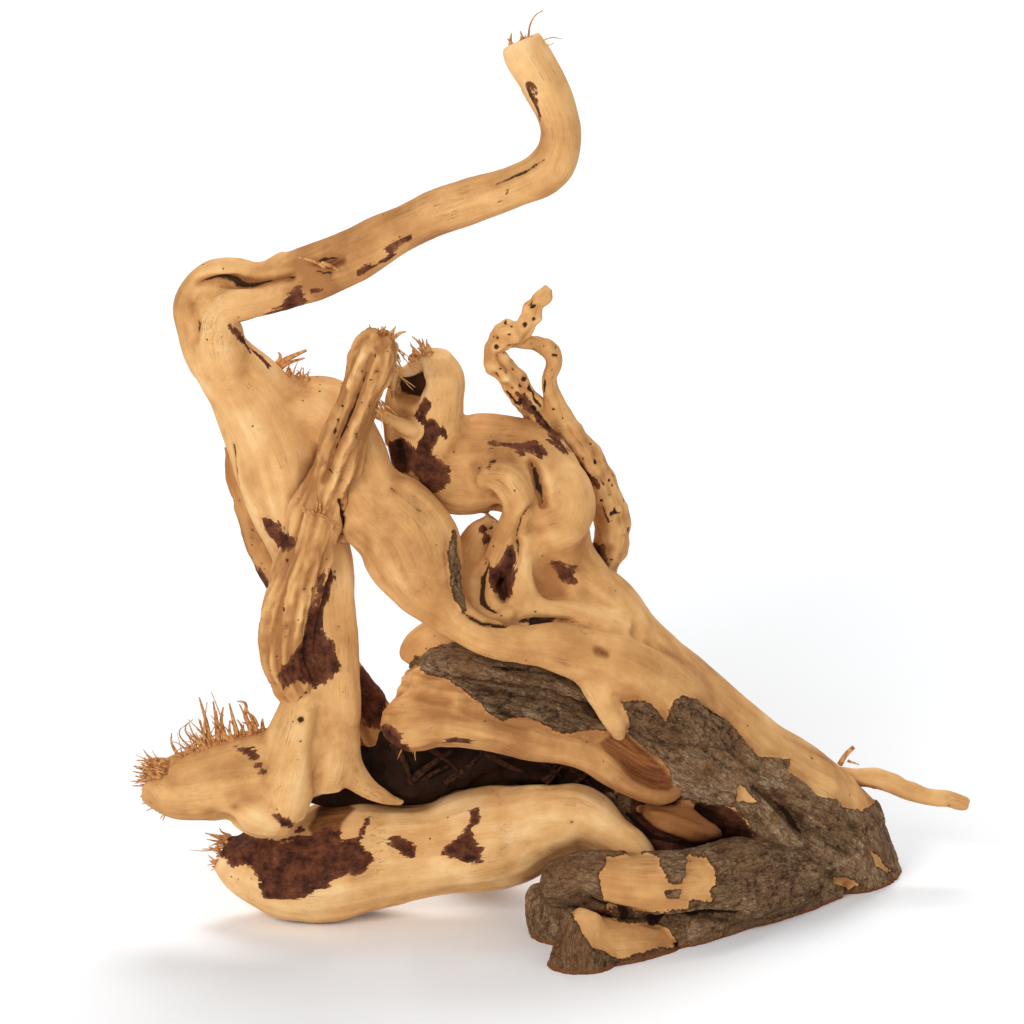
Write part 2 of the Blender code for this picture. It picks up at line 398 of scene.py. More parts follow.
def segment_distance(points: np.ndarray, start: np.ndarray, end: np.ndarray) -> tuple[np.ndarray, np.ndarray]:
    """Distance from each point to a straight segment.

    Args:
        points: The points, one row each.
        start: Where the segment starts.
        end: Where it ends.

    Returns:
        The distances, and how far along the segment the nearest places are, from 0 to 1.
    """
    edge = end - start
    t = np.clip(((points - start) @ edge) / max(edge @ edge, 1e-9), 0, 1)
    return np.linalg.norm(points - (start + t[:, None] * edge), axis=1), t


def evaluated_mesh(thing: bpy.types.Object, name: str) -> bpy.types.Mesh:
    """The object as its modifiers leave it.

    Args:
        thing: The object.
        name: The new mesh's name.

    Returns:
        A new mesh, in the frame.
    """
    bpy.context.view_layer.update()
    graph = bpy.context.evaluated_depsgraph_get()
    mesh = bpy.data.meshes.new_from_object(thing.evaluated_get(graph))
    mesh.transform(thing.matrix_world)
    mesh.name = name
    return mesh


def gather(name: str, things: Iterable[bpy.types.Object]) -> bpy.types.Object:
    """Joins the closed skins of several things into one mesh object.

    Args:
        name: The new object's name.
        things: What goes in. They are removed.

    Returns:
        The new object.
    """
    shape = bmesh.new()
    for thing in things:
        mesh = evaluated_mesh(thing, thing.name)
        shape.from_mesh(mesh)
        bpy.data.meshes.remove(mesh)
        bpy.data.objects.remove(thing)
    bmesh.ops.remove_doubles(shape, verts=shape.verts, dist=0.01 * MM)
    mesh = bpy.data.meshes.new(name)
    shape.to_mesh(mesh)
    shape.free()
    return add_object(name, mesh)


def apply_modifier(piece: bpy.types.Object, kind: str, **settings: object) -> None:
    """Adds a modifier to the piece and applies it.

    Args:
        piece: The piece.
        kind: The modifier's type.
        settings: What is set on it.
    """
    bpy.ops.object.select_all(action="DESELECT")
    piece.select_set(True)
    bpy.context.view_layer.objects.active = piece
    modifier = piece.modifiers.new(kind.lower(), kind)
    for key, value in settings.items():
        setattr(modifier, key, value)
    bpy.ops.object.modifier_apply(modifier=modifier.name)


def keep_outer_skin(mesh: bpy.types.Mesh) -> None:
    """Deletes every shell but the largest.

    Args:
        mesh: The mesh, which is changed.
    """
    count = len(mesh.vertices)
    edges = np.zeros(len(mesh.edges) * 2, np.int64)
    mesh.edges.foreach_get("vertices", edges)
    edges = edges.reshape(-1, 2)
    label = np.arange(count)
    while True:
        low = np.minimum(label[edges[:, 0]], label[edges[:, 1]])
        fresh = label.copy()
        np.minimum.at(fresh, edges[:, 0], low)
        np.minimum.at(fresh, edges[:, 1], low)
        fresh = fresh[fresh]
        if (fresh == label).all():
            break
        label = fresh
    biggest = np.bincount(label).argmax()
    if (label == biggest).all():
        return
    shape = bmesh.new()
    shape.from_mesh(mesh)
    shape.verts.ensure_lookup_table()
    stray = [shape.verts[index] for index in np.nonzero(label != biggest)[0]]
    bmesh.ops.delete(shape, geom=stray, context="VERTS")
    shape.to_mesh(mesh)
    shape.free()


def add_attribute(mesh: bpy.types.Mesh, name: str, values: np.ndarray) -> None:
    """Stores a number or a vector for each vertex.

    Args:
        mesh: The mesh.
        name: What a material calls it.
        values: One number or one row for each vertex.
    """
    kind, key = ("FLOAT", "value") if values.ndim == 1 else ("FLOAT_VECTOR", "vector")
    attribute = mesh.attributes.get(name) or mesh.attributes.new(name, kind, "POINT")
    attribute.data.foreach_set(key, values.astype(np.float32).ravel())


def vertex_places(mesh: bpy.types.Mesh) -> np.ndarray:
    """The vertices in millimetres, one row each."""
    places = np.zeros(len(mesh.vertices) * 3, np.float32)
    mesh.vertices.foreach_get("co", places)
    return places.reshape(-1, 3).astype(float) / MM


def vertex_normals(mesh: bpy.types.Mesh) -> np.ndarray:
    """The vertices' normals, one row each."""
    normals = np.zeros(len(mesh.vertices) * 3, np.float32)
    mesh.vertex_normals.foreach_get("vector", normals)
    return normals.reshape(-1, 3).astype(float)


class RootMass:
    """Limbs that grew together, fused into one piece of wood."""

    def __init__(self, name: str, limbs: list[Limb], voxel: float, rounding: int, seed: int) -> None:
        """Takes the limbs and how finely they are fused.

        Args:
            name: The piece's name.
            limbs: What grew together.
            voxel: The surface's grain size, in millimetres.
            rounding: How often the joins are smoothed.
            seed: Picks the pattern of its flutes and lumps.
        """
        self.name = name
        self.limbs = limbs
        self.voxel = voxel
        self.rounding = rounding
        self.seed = seed
        self.piece: Optional[bpy.types.Object] = None

    def fuse(self) -> None:
        """Melts the limbs into one closed skin."""
        self.piece = gather(self.name, [limb.add_curve() for limb in self.limbs])
        apply_modifier(self.piece, "REMESH", mode="VOXEL", voxel_size=self.voxel * MM)
        apply_modifier(self.piece, "SMOOTH", factor=0.5, iterations=self.rounding)
        keep_outer_skin(self.piece.data)
        self.read_skin()
        self.follow_grain()
        self.soften_seams()

    def soften_seams(self) -> None:
        """Rounds off the places where one limb runs into another."""
        ends = self.edges[self.limb_of[self.edges[:, 0]] != self.limb_of[self.edges[:, 1]]]
        seam = np.zeros(len(self.places))
        seam[ends.ravel()] = 1
        self.seam = np.clip(self.spread(seam, 12) * 3.2, 0, 1)
        soft = np.column_stack([self.spread(column, 16) for column in self.places.T])
        self.places = self.places + self.seam[:, None] * (soft - self.places)
        self.move_skin()

    def move_skin(self) -> None:
        """Moves the skin to its new places."""
        mesh = self.piece.data
        mesh.vertices.foreach_set("co", (self.places * MM).astype(np.float32).ravel())
        mesh.update()
        self.normals = vertex_normals(mesh)

    def read_skin(self) -> None:
        """Reads the skin's places, normals and edges."""
        mesh = self.piece.data
        self.places = vertex_places(mesh)
        self.normals = vertex_normals(mesh)
        edges = np.zeros(len(mesh.edges) * 2, np.int64)
        mesh.edges.foreach_get("vertices", edges)
        self.edges = edges.reshape(-1, 2)

    def tree(self) -> BVHTree:
        """The skin as a tree for ray casts, in millimetres."""
        mesh = self.piece.data
        faces = [tuple(face.vertices) for face in mesh.polygons]
        return BVHTree.FromPolygons(vertex_places(mesh).tolist(), faces)

    def follow_grain(self) -> None:
        """Finds, for each vertex, the limb it belongs to and its place along and across that limb."""
        skin = to_drawing(self.places)
        runs = [limb.samples() for limb in self.limbs]
        owner = np.concatenate([np.full(len(run["radius"]), index) for index, run in enumerate(runs)])
        line = {key: np.concatenate([run[key] for run in runs]) for key in runs[0]}
        squeeze = np.array([limb.flatness for limb in self.limbs])
        self.limb_of = np.zeros(len(skin), int)
        self.grain = np.zeros((len(skin), 3))
        self.girth = np.zeros(len(skin))
        self.around = np.zeros((len(skin), 2))
        centre, depth = line["centre"], squeeze[owner]
        weight = 1 / depth**2
        flat = centre * np.stack([np.ones(len(depth)), np.ones(len(depth)), depth], axis=1)
        table = np.stack([-2 * flat[:, 0], -2 * flat[:, 1], -2 * flat[:, 2] * weight, np.ones(len(depth)), weight,
                          flat[:, 0]**2 + flat[:, 1]**2 + flat[:, 2]**2 * weight])
        nearest = np.zeros(len(skin), int)
        for first in range(0, len(skin), 20000):
            some = skin[first:first + 20000]
            terms = np.column_stack([some, some[:, 0]**2 + some[:, 1]**2, some[:, 2]**2, np.ones(len(some))])
            reach = np.sqrt(np.maximum(terms @ table, 0)) - line["radius"]
            nearest[first:first + 20000] = reach.argmin(axis=1)
        self.limb_of = owner[nearest]
        stretched = skin / np.stack([np.ones(len(skin)), np.ones(len(skin)), depth[nearest]], axis=1)
        slip = ((stretched - centre[nearest]) * line["tangent"][nearest]).sum(axis=1)
        other = np.clip(nearest + np.where(slip > 0, 1, -1), 0, len(owner) - 1)
        other = np.where(owner[other] == owner[nearest], other, nearest)
        gap = np.linalg.norm(centre[other] - centre[nearest], axis=1)
        t = np.clip(np.abs(slip) / np.maximum(gap, 1e-6), 0, 1) * (other != nearest)
        mixed = {key: values[nearest] + (values[other] - values[nearest]) * (t[:, None] if values.ndim > 1 else t)
                 for key, values in line.items()}
        offset = stretched - mixed["centre"]
        overshoot = np.where(other == nearest, slip, 0)
        u = (offset * mixed["side"]).sum(axis=1)
        v = (offset * mixed["rise"]).sum(axis=1)
        shift = self.limb_of * GRAIN_SHIFT
        self.grain = np.stack([mixed["along"] + overshoot + shift, u, v], axis=1)
        self.girth = mixed["radius"]
        first, last = np.array([run["along"][[0, -1]] for run in runs]).T
        self.share = np.clip((mixed["along"] - first[self.limb_of]) / (last - first)[self.limb_of], 0, 1)
        length = np.maximum(np.hypot(u, v), 1e-6)
        twist = 0.008 * mixed["along"]
        across, rise = u / length, v / length
        self.around = np.stack([across * np.cos(twist) - rise * np.sin(twist),
                                across * np.sin(twist) + rise * np.cos(twist)], axis=1)
        self.depth_back = -skin[:, 2] * math.cos(SIGHT) + skin[:, 1] * math.sin(SIGHT)
        self.on_page = skin[:, :2]

    def spread(self, values: np.ndarray, rounds: int) -> np.ndarray:
        """Averages values over neighbouring vertices.

        Args:
            values: One number for each vertex.
            rounds: How often, which is about how many vertices away it reaches.

        Returns:
            The smoothed values.
        """
        ends, count = self.edges, len(values)
        degree = np.bincount(ends.ravel(), minlength=count)
        for _ in range(rounds):
            near = np.bincount(ends[:, 0], values[ends[:, 1]], count)
            near += np.bincount(ends[:, 1], values[ends[:, 0]], count)
            values = 0.5 * values + 0.5 * near / np.maximum(degree, 1)
        return values

    def of_limbs(self, *sizes: str) -> np.ndarray:
        """The named sizes of each vertex's limb, with a row for each vertex."""
        return np.array([[getattr(limb, size) for size in sizes] for limb in self.limbs])[self.limb_of]

    def named(self, names: Iterable[str]) -> np.ndarray:
        """Which vertices belong to the named limbs."""
        wanted = [index for index, limb in enumerate(self.limbs) if limb.name in set(names)]
        return np.isin(self.limb_of, wanted)

    def mark(self, strokes: list["PlacedStroke"], regions: list[Region], barked: Iterable[str]) -> None:
        """Works out how stained, barked, cracked and pitted each vertex is.

        Args:
            strokes: Marks with their places in space.
            regions: Outlines of bark and bare wood.
            barked: Limbs that are bark all over.
        """
        count = len(self.places)
        ragged = layered_noise(self.places / 7.0, self.seed + 50) * 1.1
        ragged += layered_noise(self.grain / (9.0, 2.6, 2.6), self.seed + 51) * 0.9
        facing = self.normals @ OUTWARD
        bark = self.spread(np.where(self.named(barked), SURE, -SURE), 2)
        # Limbs deep in the crotch lie in shade: where they face the viewer they get inner bark colours as painted
        # shade.
        sheltered = self.named(SHADED_LIMBS) & (facing > -0.3)
        stain_and_shade = self.spread(np.where(sheltered, SURE, -SURE), 2)
        unseen = lattice_noise(self.places / 24.0, self.seed + 70) + 0.6 * lattice_noise(self.grain / 12.0, self.seed)
        stain_and_shade = np.maximum(stain_and_shade, (unseen - 0.72 - 2.0 * smooth_step(facing, -0.3, -0.1)) * 9)
        rust_and_shade = self.spread(-self.of_limbs("weather")[:, 0], 8)
        # Painted shade on the shaded limbs.
        dark = LIMB_SHADE * self.spread(sheltered.astype(float), 6)
        in_view = facing > -0.1
        for region in regions:
            reach = inside_distance(self.on_page, region.outline)
            held = self.depth_back < region.nearer_than
            if region.limbs:
                held &= self.named(region.limbs)
            if region.mark is Mark.BARK:
                bark = np.where(held, np.maximum(bark, reach), bark)
            elif region.mark is Mark.BARE:
                bark = np.where(held, np.minimum(bark, -reach), bark)
            elif region.mark is Mark.STAIN:
                stain_and_shade = np.where(held & in_view, np.maximum(stain_and_shade, reach), stain_and_shade)
            elif region.mark is Mark.SHADE:
                # Painted shade inside the outline.
                shade = OUTLINE_SHADE * smooth_step(reach, -2.0, 3.0)
                dark = np.where(held & in_view, np.maximum(dark, shade), dark)
            else:
                # Rusty places, and the warm shade painted under the leg.
                rust_and_shade = np.where(held & in_view, np.maximum(rust_and_shade, smooth_step(reach, -1.6, 2.4)), rust_and_shade)
        sink, crest = np.zeros(count), np.zeros(count)
        for stroke in strokes:
            reach = stroke.reach(self.places)
            if not (reach > -7).any():
                continue
            wavy = reach + lattice_noise(self.places / 3.1, self.seed + 60) * 0.5
            if stroke.mark is Mark.STAIN:
                stain_and_shade = np.maximum(stain_and_shade, reach)
            elif stroke.mark is Mark.BARK:
                bark = np.maximum(bark, reach)
            elif stroke.mark is Mark.BARE:
                bark = np.minimum(bark, -reach)
            elif stroke.mark is Mark.RUST_AND_SHADE:
                rust_and_shade = np.maximum(rust_and_shade, smooth_step(wavy, -4.0, 2.0))
            elif stroke.mark is Mark.CRACK:
                # A crack sinks and gets a line of painted shade.
                line = smooth_step(wavy, -0.7, 0.5)
                dark = np.maximum(dark, line * 0.8)
                sink = np.minimum(sink, -stroke.depth * line)
            elif stroke.mark is Mark.GROOVE:
                # A groove sinks, with painted shade along its bottom and a faint rusty tint.
                line = smooth_step(wavy, -3.4, 0.9)
                dark = np.maximum(dark, smooth_step(wavy, -0.6, 1.1))
                rust_and_shade = np.maximum(rust_and_shade, 0.14 * smooth_step(wavy, -1.8, 0.4))
                sink = np.minimum(sink, -stroke.depth * line)
            elif stroke.mark is Mark.RIDGE:
                line = smooth_step(wavy, -1.1, 0.5)
                crest = np.maximum(crest, line)
                sink += stroke.depth * line
            elif stroke.mark is Mark.HOLLOW:
                # A hollow sinks and is tinted rusty towards its middle, a warm painted shade.
                line = smooth_step(reach, -6.0, 2.5)
                rust_and_shade = np.maximum(rust_and_shade, 0.18 * smooth_step(reach, -7.0, 2.5))
                sink = np.minimum(sink, -stroke.depth * line)
            elif stroke.mark is Mark.PIT:
                # A pit sinks, with painted shade in its bowl.
                bowl = smooth_step(wavy, -1.6, 1.6)
                dark = np.maximum(dark, smooth_step(wavy, -0.6, 1.4))
                sink = np.minimum(sink, -stroke.depth * bowl)
            else:
                sink += stroke.depth * smooth_step(reach, -4.0, 1.0)
        riddled = self.spread(self.of_limbs("holes")[:, 0], 4)
        worm = lattice_noise(self.places / 2.4, self.seed + 80) - 0.86 + 0.36 * riddled
        worm = smooth_step(worm, 0.0, 0.12) * (riddled > 0.02)
        # Worm holes sink and get painted shade inside.
        dark = np.maximum(dark, worm * 0.85)
        sink = np.minimum(sink, -1.0 * worm)
        torn = layered_noise(self.grain / (6.0, 2.2, 2.2), self.seed + 55)
        self.bark = np.clip(bark + ragged * 0.8, -SURE, SURE)
        self.stain_and_shade = np.clip(stain_and_shade + ragged * 0.7 + torn * 1.1 - 0.2, -SURE, SURE)
        self.dark = dark
        self.sink = self.spread(sink, 1)
        self.rust_and_shade = rust_and_shade
        self.crest = crest

    def carve(self) -> None:
        """Flutes the wood along its grain, raises the bark and sinks the cracks and pits."""
        along, across, rise = self.grain.T
        girth = np.minimum(self.girth, 20.0)
        flutes, ribs, knobs = self.of_limbs("flutes", "ribs", "knobs").T
        ring = np.column_stack([self.around * 1.4, along / 55.0])
        fine_ring = np.column_stack([self.around * 3.2, along / 38.0])
        relief = lattice_noise(ring, self.seed) * flutes * girth
        relief += lattice_noise(fine_ring, self.seed + 7) * flutes * girth * 0.38
        relief = self.spread(relief, 22)
        relief += lattice_noise(self.places / 19.0, self.seed + 3) * 1.0 * smooth_step(girth, 3, 14)
        relief += lattice_noise(self.places / 5.2, self.seed + 4) * knobs
        strand = np.column_stack([along / 26.0, across / 3.0, rise / 3.0])
        relief += lattice_noise(strand, self.seed + 9) * ribs * (1 - self.seam)
        wrinkle = np.column_stack([along / 8.0, across / 2.1, rise / 2.1])
        relief += (0.5 - np.abs(layered_noise(wrinkle, self.seed + 19, 2))) * ribs * 0.42
        bark = smooth_step(self.bark, -0.35, 0.55)
        split = np.abs(layered_noise(np.column_stack([along / 12.0, across / 4.6, rise / 4.6]), self.seed + 11, 2))
        split = 1 - smooth_step(split, 0.02, 0.16)
        plates = lattice_noise(np.column_stack([along / 17.0, across / 8.0, rise / 8.0]), self.seed + 13)
        bark_relief = 1.7 + 0.55 * plates - 0.8 * split + 0.4 * layered_noise(self.places / 3.0, self.seed + 15, 2)
        relief += bark * bark_relief
        relief += 0.3 * smooth_step(self.stain_and_shade, -0.3, 0.6) * (1 - bark)
        relief += self.sink
        self.places = self.places + self.normals * relief[:, None]
        self.move_skin()
        # Painted light and shade: convex places are drawn paler and hollow ones darker, with each limb's tone and fade
        # added.
        soft = np.column_stack([self.spread(column, 18) for column in self.places.T])
        bulge_shading = ((self.places - soft) * self.normals).sum(axis=1)
        bulge_shading = self.spread(bulge_shading * np.clip(self.girth, 4, 24) / (5.6 * self.voxel**2), 3)
        tone, fade = self.of_limbs("tone", "fade").T
        bulge_shading += self.spread(tone + fade * self.share**2, 24)
        mesh = self.piece.data
        add_attribute(mesh, "grain", self.grain)
        add_attribute(mesh, "marks", np.column_stack([self.stain_and_shade, self.bark, self.dark]))
        add_attribute(mesh, "tints", np.column_stack([split - 0.9 * self.crest, self.rust_and_shade, np.clip(bulge_shading - 1, -4, 3)]))
        add_attribute(mesh, "seam", self.seam)

    def trim(self) -> None:
        """Saws the wood off flat at the ground."""
        mesh = self.piece.data
        shape = bmesh.new()
        shape.from_mesh(mesh)
        if min(vert.co.z for vert in shape.verts) < 0:
            everything = list(shape.verts) + list(shape.edges) + list(shape.faces)
            cut = bmesh.ops.bisect_plane(shape, geom=everything, dist=1e-6, plane_co=(0, 0, 0),
                                         plane_no=(0, 0, -1), clear_outer=True)
            rim = [item for item in cut["geom_cut"] if isinstance(item, bmesh.types.BMEdge)]
            filled = bmesh.ops.triangle_fill(shape, edges=rim, use_beauty=True, normal=(0, 0, -1))
            for face in filled["geom"]:
                if isinstance(face, bmesh.types.BMFace) and face.normal.z > 0:
                    face.normal_flip()
        shape.to_mesh(mesh)
        shape.free()

    def shade_hollows(self, trees: list[BVHTree], rays: int) -> None:
        """Stores how shut in each vertex is.

        Args:
            trees: Everything that can shut it in.
            rays: How many ways it looks out.
        """
        mesh = self.piece.data
        places, normals = vertex_places(mesh), vertex_normals(mesh)
        spin = random.Random(self.seed)
        ways = []
        while len(ways) < rays:
            way = Vector((spin.uniform(-1, 1), spin.uniform(-1, 1), spin.uniform(-1, 1)))
            if 0.2 < way.length < 1:
                ways.append(way.normalized())
        shut = np.zeros(len(places))
        for index, (place, normal) in enumerate(zip(places, normals)):
            up = Vector(normal)
            start = Vector(place) + up * RAY_START
            hits = 0.0
            for way in ways:
                look = way + up * 1.05
                for tree in trees:
                    found = tree.ray_cast(start, look, RAY_REACH)
                    if found[0] is not None:
                        hits += 1 - found[3] / RAY_FADE
                        break
            shut[index] = hits / rays
        self.read_skin()
        shut = self.spread(shut, 3)
        # The material paints shade in the hollows from this.
        add_attribute(mesh, "shut_in", shut)

    def finish(self, material: bpy.types.Material) -> bpy.types.Object:
        """Dresses the piece and reports it.

        Args:
            material: The wood.

        Returns:
            The finished piece.
        """
        dress(self.piece, material)
        mesh = self.piece.data
        log.info("%s: %d vertices, %d faces", self.name, len(mesh.vertices), len(mesh.polygons))
        return self.piece


class PlacedStroke:
    """A stroke with its spots found on the wood's surface."""

    def __init__(self, stroke: Stroke, trees: list[BVHTree]) -> None:
        """Casts each spot onto the wood.

        Args:
            stroke: The stroke on the drawing.
            trees: The wood's skins.
        """
        self.mark = stroke.mark
        self.depth = stroke.depth
        self.spots: list[tuple[np.ndarray, float]] = []
        look = Vector((0, math.cos(SIGHT), -math.sin(SIGHT)))
        for across, up, radius in stroke.spots:
            start = Vector(from_drawing(np.array([[across, up, FAR_OUT]]))[0])
            hits = [tree.ray_cast(start, look) for tree in trees]
            hits = [hit for hit in hits if hit[0] is not None]
            if hits:
                nearest = min(hits, key=lambda hit: hit[3])
                self.spots.append((np.array(nearest[0]), radius))

    def reach(self, points: np.ndarray) -> np.ndarray:
        """How far inside the stroke each point is.

        Args:
            points: The points, in millimetres, one row each.

        Returns:
            The distances in millimetres, negative outside.
        """
        best = np.full(len(points), -1e3)
        if not self.spots:
            return best
        middle = np.mean([spot for spot, _ in self.spots], axis=0)
        span = max(np.linalg.norm(spot - middle) + radius for spot, radius in self.spots) + 8
        close = np.nonzero(np.linalg.norm(points - middle, axis=1) < span)[0]
        if len(close) == 0:
            return best
        some = points[close]
        ends = self.spots[1:] or self.spots
        for (start, start_radius), (end, end_radius) in zip(self.spots, ends):
            distance, t = segment_distance(some, start, end)
            inside = start_radius + (end_radius - start_radius) * t - distance
            best[close] = np.maximum(best[close], inside)
        return best


class Signal:
    """A shader socket that takes part in sums, and adds the Math nodes for them."""

    def __init__(self, shades: "Shades", socket: bpy.types.NodeSocket) -> None:
        """Wraps a socket of the shades' node tree.

        Args:
            shades: The node tree.
            socket: The output socket that the signal comes from.
        """
        self.shades = shades
        self.socket = socket

    def math(self, operation: str, *others: "Signal | float") -> "Signal":
        """Adds a Math node with this signal first."""
        values = {index: value for index, value in enumerate((self, *others))}
        return self.shades.node("ShaderNodeMath", {"operation": operation}, values)

    def __add__(self, other: "Signal | float") -> "Signal":
        """This signal plus another."""
        return self.math("ADD", other)

    def __radd__(self, other: float) -> "Signal":
        """A number plus this signal."""
        return self.math("ADD", other)

    def __sub__(self, other: "Signal | float") -> "Signal":
        """This signal less another."""
        return self.math("SUBTRACT", other)

    def __rsub__(self, other: float) -> "Signal":
        """A number less this signal."""
        return self.shades.node("ShaderNodeMath", {"operation": "SUBTRACT"}, {0: other, 1: self})

    def __mul__(self, other: "Signal | float") -> "Signal":
        """This signal times another."""
        return self.math("MULTIPLY", other)

    def __rmul__(self, other: float) -> "Signal":
        """A number times this signal."""
        return self.math("MULTIPLY", other)

    def __abs__(self) -> "Signal":
        """This signal without its sign."""
        return self.math("ABSOLUTE")

    def higher(self, other: "Signal | float") -> "Signal":
        """Whichever is higher, this signal or another."""
        return self.math("MAXIMUM", other)

    def between(self, low: float, high: float) -> "Signal":
        """Rises smoothly from 0 where the signal is low to 1 where it is high."""
        settings = {"interpolation_type": "SMOOTHSTEP"}
        return self.shades.node("ShaderNodeMapRange", settings, {"Value": self, "From Min": low, "From Max": high})


class Shades:
    """The node tree of one material."""

    def __init__(self, name: str) -> None:
        """Starts a material that has only its shader and output.

        Args:
            name: The material's name.
        """
        self.material = bpy.data.materials.new(name)
        self.material.use_nodes = True
        self.tree = self.material.node_tree
        self.shader = self.tree.nodes["Principled BSDF"]

    def node(self, kind: str, settings: Optional[dict] = None, values: Optional[dict] = None,
             output: int | str = 0) -> Signal:
        """Adds a node.

        Args:
            kind: The node's type.
            settings: What is set on the node itself, with a ramp's stops under "stops".
            values: A number, colour or signal for each input, by name or place.
            output: Which output is wanted.

        Returns:
            That output as a signal.
        """
        node = self.tree.nodes.new(kind)
        for key, value in (settings or {}).items():
            if key == "stops":
                while len(node.color_ramp.elements) < len(value):
                    node.color_ramp.elements.new(0.5)
                for element, (place, colour) in zip(node.color_ramp.elements, value):
                    element.position, element.color = place, colour
            else:
                setattr(node, key, value)
        for key, value in (values or {}).items():
            if isinstance(value, Signal):
                self.tree.links.new(value.socket, node.inputs[key])
            else:
                node.inputs[key].default_value = value
        return Signal(self, node.outputs[output])

    def attribute(self, name: str, output: str = "Vector") -> Signal:
        """What the mesh stores under a name."""
        return self.node("ShaderNodeAttribute", {"attribute_name": name}, output=output)

    def place(self) -> Signal:
        """The position in millimetres."""
        here = self.node("ShaderNodeTexCoord", output="Object")
        return self.node("ShaderNodeVectorMath", {"operation": "SCALE"}, {0: here, "Scale": 1 / MM})

    def parts(self, vector: Signal) -> list[Signal]:
        """The three parts of a vector."""
        split = self.node("ShaderNodeSeparateXYZ", {}, {0: vector}).socket.node
        return [Signal(self, output) for output in split.outputs]

    def stretched(self, place: Signal, amounts: tuple[float, float, float]) -> Signal:
        """A position with each direction scaled by its own amount."""
        return self.node("ShaderNodeVectorMath", {"operation": "MULTIPLY"}, {0: place, 1: amounts})

    def noise(self, place: Signal, scale: float, detail: float = 3.0, roughness: float = 0.55,
              distortion: float = 0.0) -> Signal:
        """Cloudy noise from 0 to 1."""
        values = {"Vector": place, "Scale": scale, "Detail": detail, "Roughness": roughness,
                  "Distortion": distortion}
        return self.node("ShaderNodeTexNoise", {"noise_dimensions": "3D"}, values)

    def ramp(self, factor: Signal, stops: list[tuple[float, tuple]]) -> Signal:
        """A colour picked from stops by a factor."""
        return self.node("ShaderNodeValToRGB", {"stops": stops}, {0: factor})

    def mix(self, factor: "Signal | float", under: "Signal | tuple", over: "Signal | tuple",
            blend: str = "MIX") -> Signal:
        """Two colours mixed by a factor."""
        settings = {"data_type": "RGBA", "blend_type": blend}
        return self.node("ShaderNodeMix", settings, {0: factor, 6: under, 7: over}, output=2)

    def finish(self, colour: Signal, roughness: Signal, height: Signal, strength: float = 1.0) -> bpy.types.Material:
        """Wires the shader.

        Args:
            colour: Base colour.
            roughness: Roughness.
            height: Relief in millimetres.
            strength: How much of the relief shows.

        Returns:
            The finished material.
        """
        bump = self.node("ShaderNodeBump", {}, {"Height": height, "Distance": MM, "Strength": strength})
        self.tree.links.new(colour.socket, self.shader.inputs["Base Color"])
        self.tree.links.new(roughness.socket, self.shader.inputs["Roughness"])
        self.tree.links.new(bump.socket, self.shader.inputs["Normal"])
        self.shader.inputs["Specular IOR Level"].default_value = WOOD_GLOSS
        return self.material


